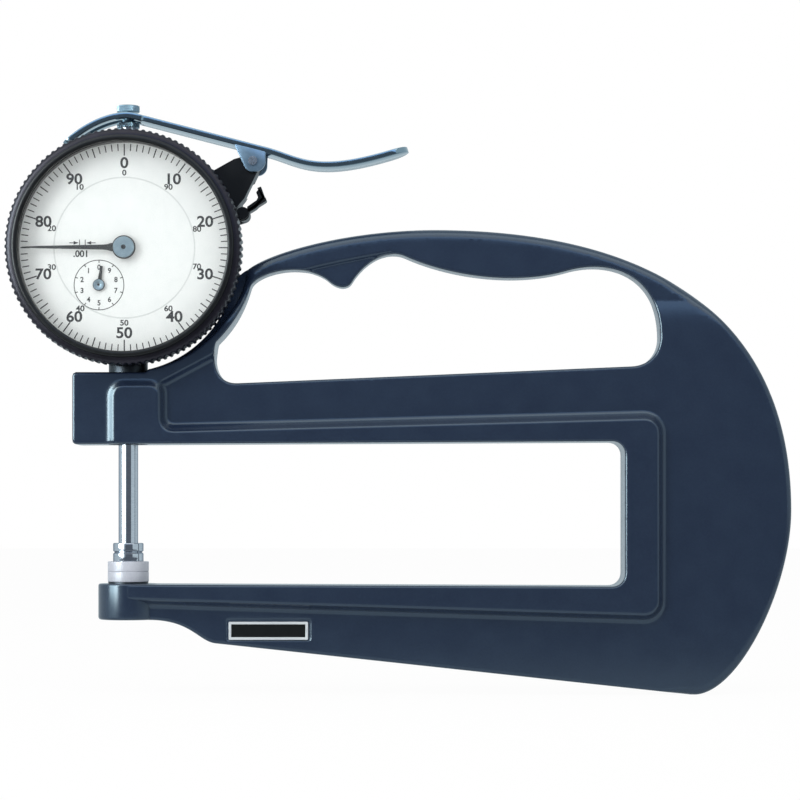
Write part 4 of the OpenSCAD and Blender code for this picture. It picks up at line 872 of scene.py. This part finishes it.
# Studio. A white floor and a white surround, a tall lamp at the left front, a wide lamp above in front, and
# cards that only reflections see: the dim room with its window behind the camera, the table, and a softbox.
# The camera faces the dial, and lengths here are metres.
scene = bpy.context.scene
scene.view_settings.view_transform = "Standard"
camera = bpy.data.objects.new("camera", bpy.data.cameras.new("camera"))
camera.data.lens, camera.data.sensor_width, camera.data.shift_y = 119.5, 36, 0.146
camera.data.clip_start = 0.01
camera.location = (0.06649, -0.65, 0.0134)
camera.rotation_euler = (math.pi / 2, 0, 0)
scene.collection.objects.link(camera)
scene.camera = camera


def seen_white(tree, ambient):
    """Factor 1 for rays that the camera, a mirror or glass sends, and the ambient share for the others."""
    ray = add(tree, "ShaderNodeLightPath")
    seen = add(tree, "ShaderNodeMath", {"operation": "MAXIMUM"},
               {0: ray.outputs["Is Camera Ray"], 1: ray.outputs["Is Glossy Ray"]})
    seen = add(tree, "ShaderNodeMath", {"operation": "MAXIMUM"},
               {0: seen.outputs[0], 1: ray.outputs["Is Transmission Ray"]})
    return add(tree, "ShaderNodeMath", {"operation": "MULTIPLY_ADD"},
               {0: seen.outputs[0], 1: 1 - ambient, 2: ambient}).outputs[0]


def cool_mirrored(tree):
    """White for all rays but those that a mirror sends, which see a cool grey."""
    mirror_ray = add(tree, "ShaderNodeLightPath").outputs["Is Glossy Ray"]
    return add(tree, "ShaderNodeMix", {"data_type": "RGBA"},
               {0: mirror_ray, 6: (1, 1, 1, 1), 7: (0.62, 0.73, 0.79, 1)}).outputs[2]


world = bpy.data.worlds.new("white_surround")
world.use_nodes = True
scene.world = world
surround = world.node_tree.nodes["Background"]
world.node_tree.links.new(cool_mirrored(world.node_tree), surround.inputs["Color"])
world.node_tree.links.new(seen_white(world.node_tree, 0.62), surround.inputs["Strength"])

# Floor: it glows white where it is seen, and keeps a small share of lit paper for the object's shadow
GLOW_SHARE = 0.96
paper = bpy.data.materials.new("white_floor")
paper.use_nodes = True
paper_tree = paper.node_tree
paper_tree.nodes.remove(paper_tree.nodes["Principled BSDF"])
lit = add(paper_tree, "ShaderNodeBsdfDiffuse", None, {"Color": (0.9, 0.9, 0.9, 1)})
glow = add(paper_tree, "ShaderNodeEmission", None, {"Color": cool_mirrored(paper_tree), "Strength": 1.0})
seen_share = add(paper_tree, "ShaderNodeMath", {"operation": "MULTIPLY"},
                 {0: seen_white(paper_tree, 0.0), 1: GLOW_SHARE})
mixed = add(paper_tree, "ShaderNodeMixShader", None,
            {0: seen_share.outputs[0], 1: lit.outputs[0], 2: glow.outputs[0]})
paper_tree.links.new(mixed.outputs[0], paper_tree.nodes["Material Output"].inputs["Surface"])


def card(name, corners, material):
    """A flat four-cornered stage card."""
    mesh = bpy.data.meshes.new(name)
    mesh.from_pydata(corners, [], [(0, 1, 2, 3)])
    mesh.materials.append(material)
    made = bpy.data.objects.new(name, mesh)
    scene.collection.objects.link(made)
    return made


ground = cad_box[0].z
card("floor", [(-3, -3, ground), (3, -3, ground), (3, 3, ground), (-3, 3, ground)], paper)


def glowing(name, colour, strength):
    """Material of a card that only shines."""
    made = bpy.data.materials.new(name)
    made.use_nodes = True
    tree = made.node_tree
    tree.nodes.remove(tree.nodes["Principled BSDF"])
    shine = add(tree, "ShaderNodeEmission", None, {"Color": colour, "Strength": strength})
    tree.links.new(shine.outputs[0], tree.nodes["Material Output"].inputs["Surface"])
    return made


def upright(x0, x1, y, z0, z1):
    """Corners of an upright card that faces the object."""
    return [(x0, y, z0), (x1, y, z0), (x1, y, z1), (x0, y, z1)]


dusk = glowing("dusk_card", (0.8, 0.95, 1.15, 1), 0.16)
silk = glowing("softbox_silk", (0.8, 0.94, 1.0, 1), 11.0)
blue_hour = glowing("window_card", (0.45, 0.65, 1.0, 1), 1.9)
# The room and the table share an edge just over the floor
near, far_y, left, right = ground + 0.0005, -0.95, -0.33, 0.75
table = [(left, far_y, near), (right, far_y, near), (right, -0.1, near), (left, -0.1, near)]
softbox = [(-0.56, -0.8, 0), (-0.86, -0.3, 0), (-0.86, -0.3, 0.5), (-0.56, -0.8, 0.5)]
for mirrored in (card("room", upright(left, right, far_y, near, 1.1), dusk), card("table", table, dusk),
                 card("window", upright(-0.3, 0.7, -0.94, 0.37, 0.61), blue_hour),
                 card("softbox", softbox, silk)):
    for hidden in ("visible_camera", "visible_diffuse", "visible_shadow", "visible_transmission"):
        setattr(mirrored, hidden, False)


def lamp(name, place, target, size, watts):
    """A rectangular lamp at a place, turned towards a target."""
    data = bpy.data.lights.new(name, "AREA")
    data.shape, data.energy = "RECTANGLE", watts
    data.size, data.size_y = size
    made = bpy.data.objects.new(name, data)
    made.location = place
    toward = np.array(target) - np.array(place)
    made.rotation_euler = (math.acos(-toward[2] / np.linalg.norm(toward)), 0,
                           math.atan2(toward[1], toward[0]) - math.pi / 2)
    scene.collection.objects.link(made)


lamp("key", (-0.5, -0.55, 0.25), (0.06, 0, 0.03), (0.22, 0.7), 3.0)
lamp("top", (0.1, -0.4, 0.62), (0.08, 0, 0.04), (1.0, 0.6), 2.2)
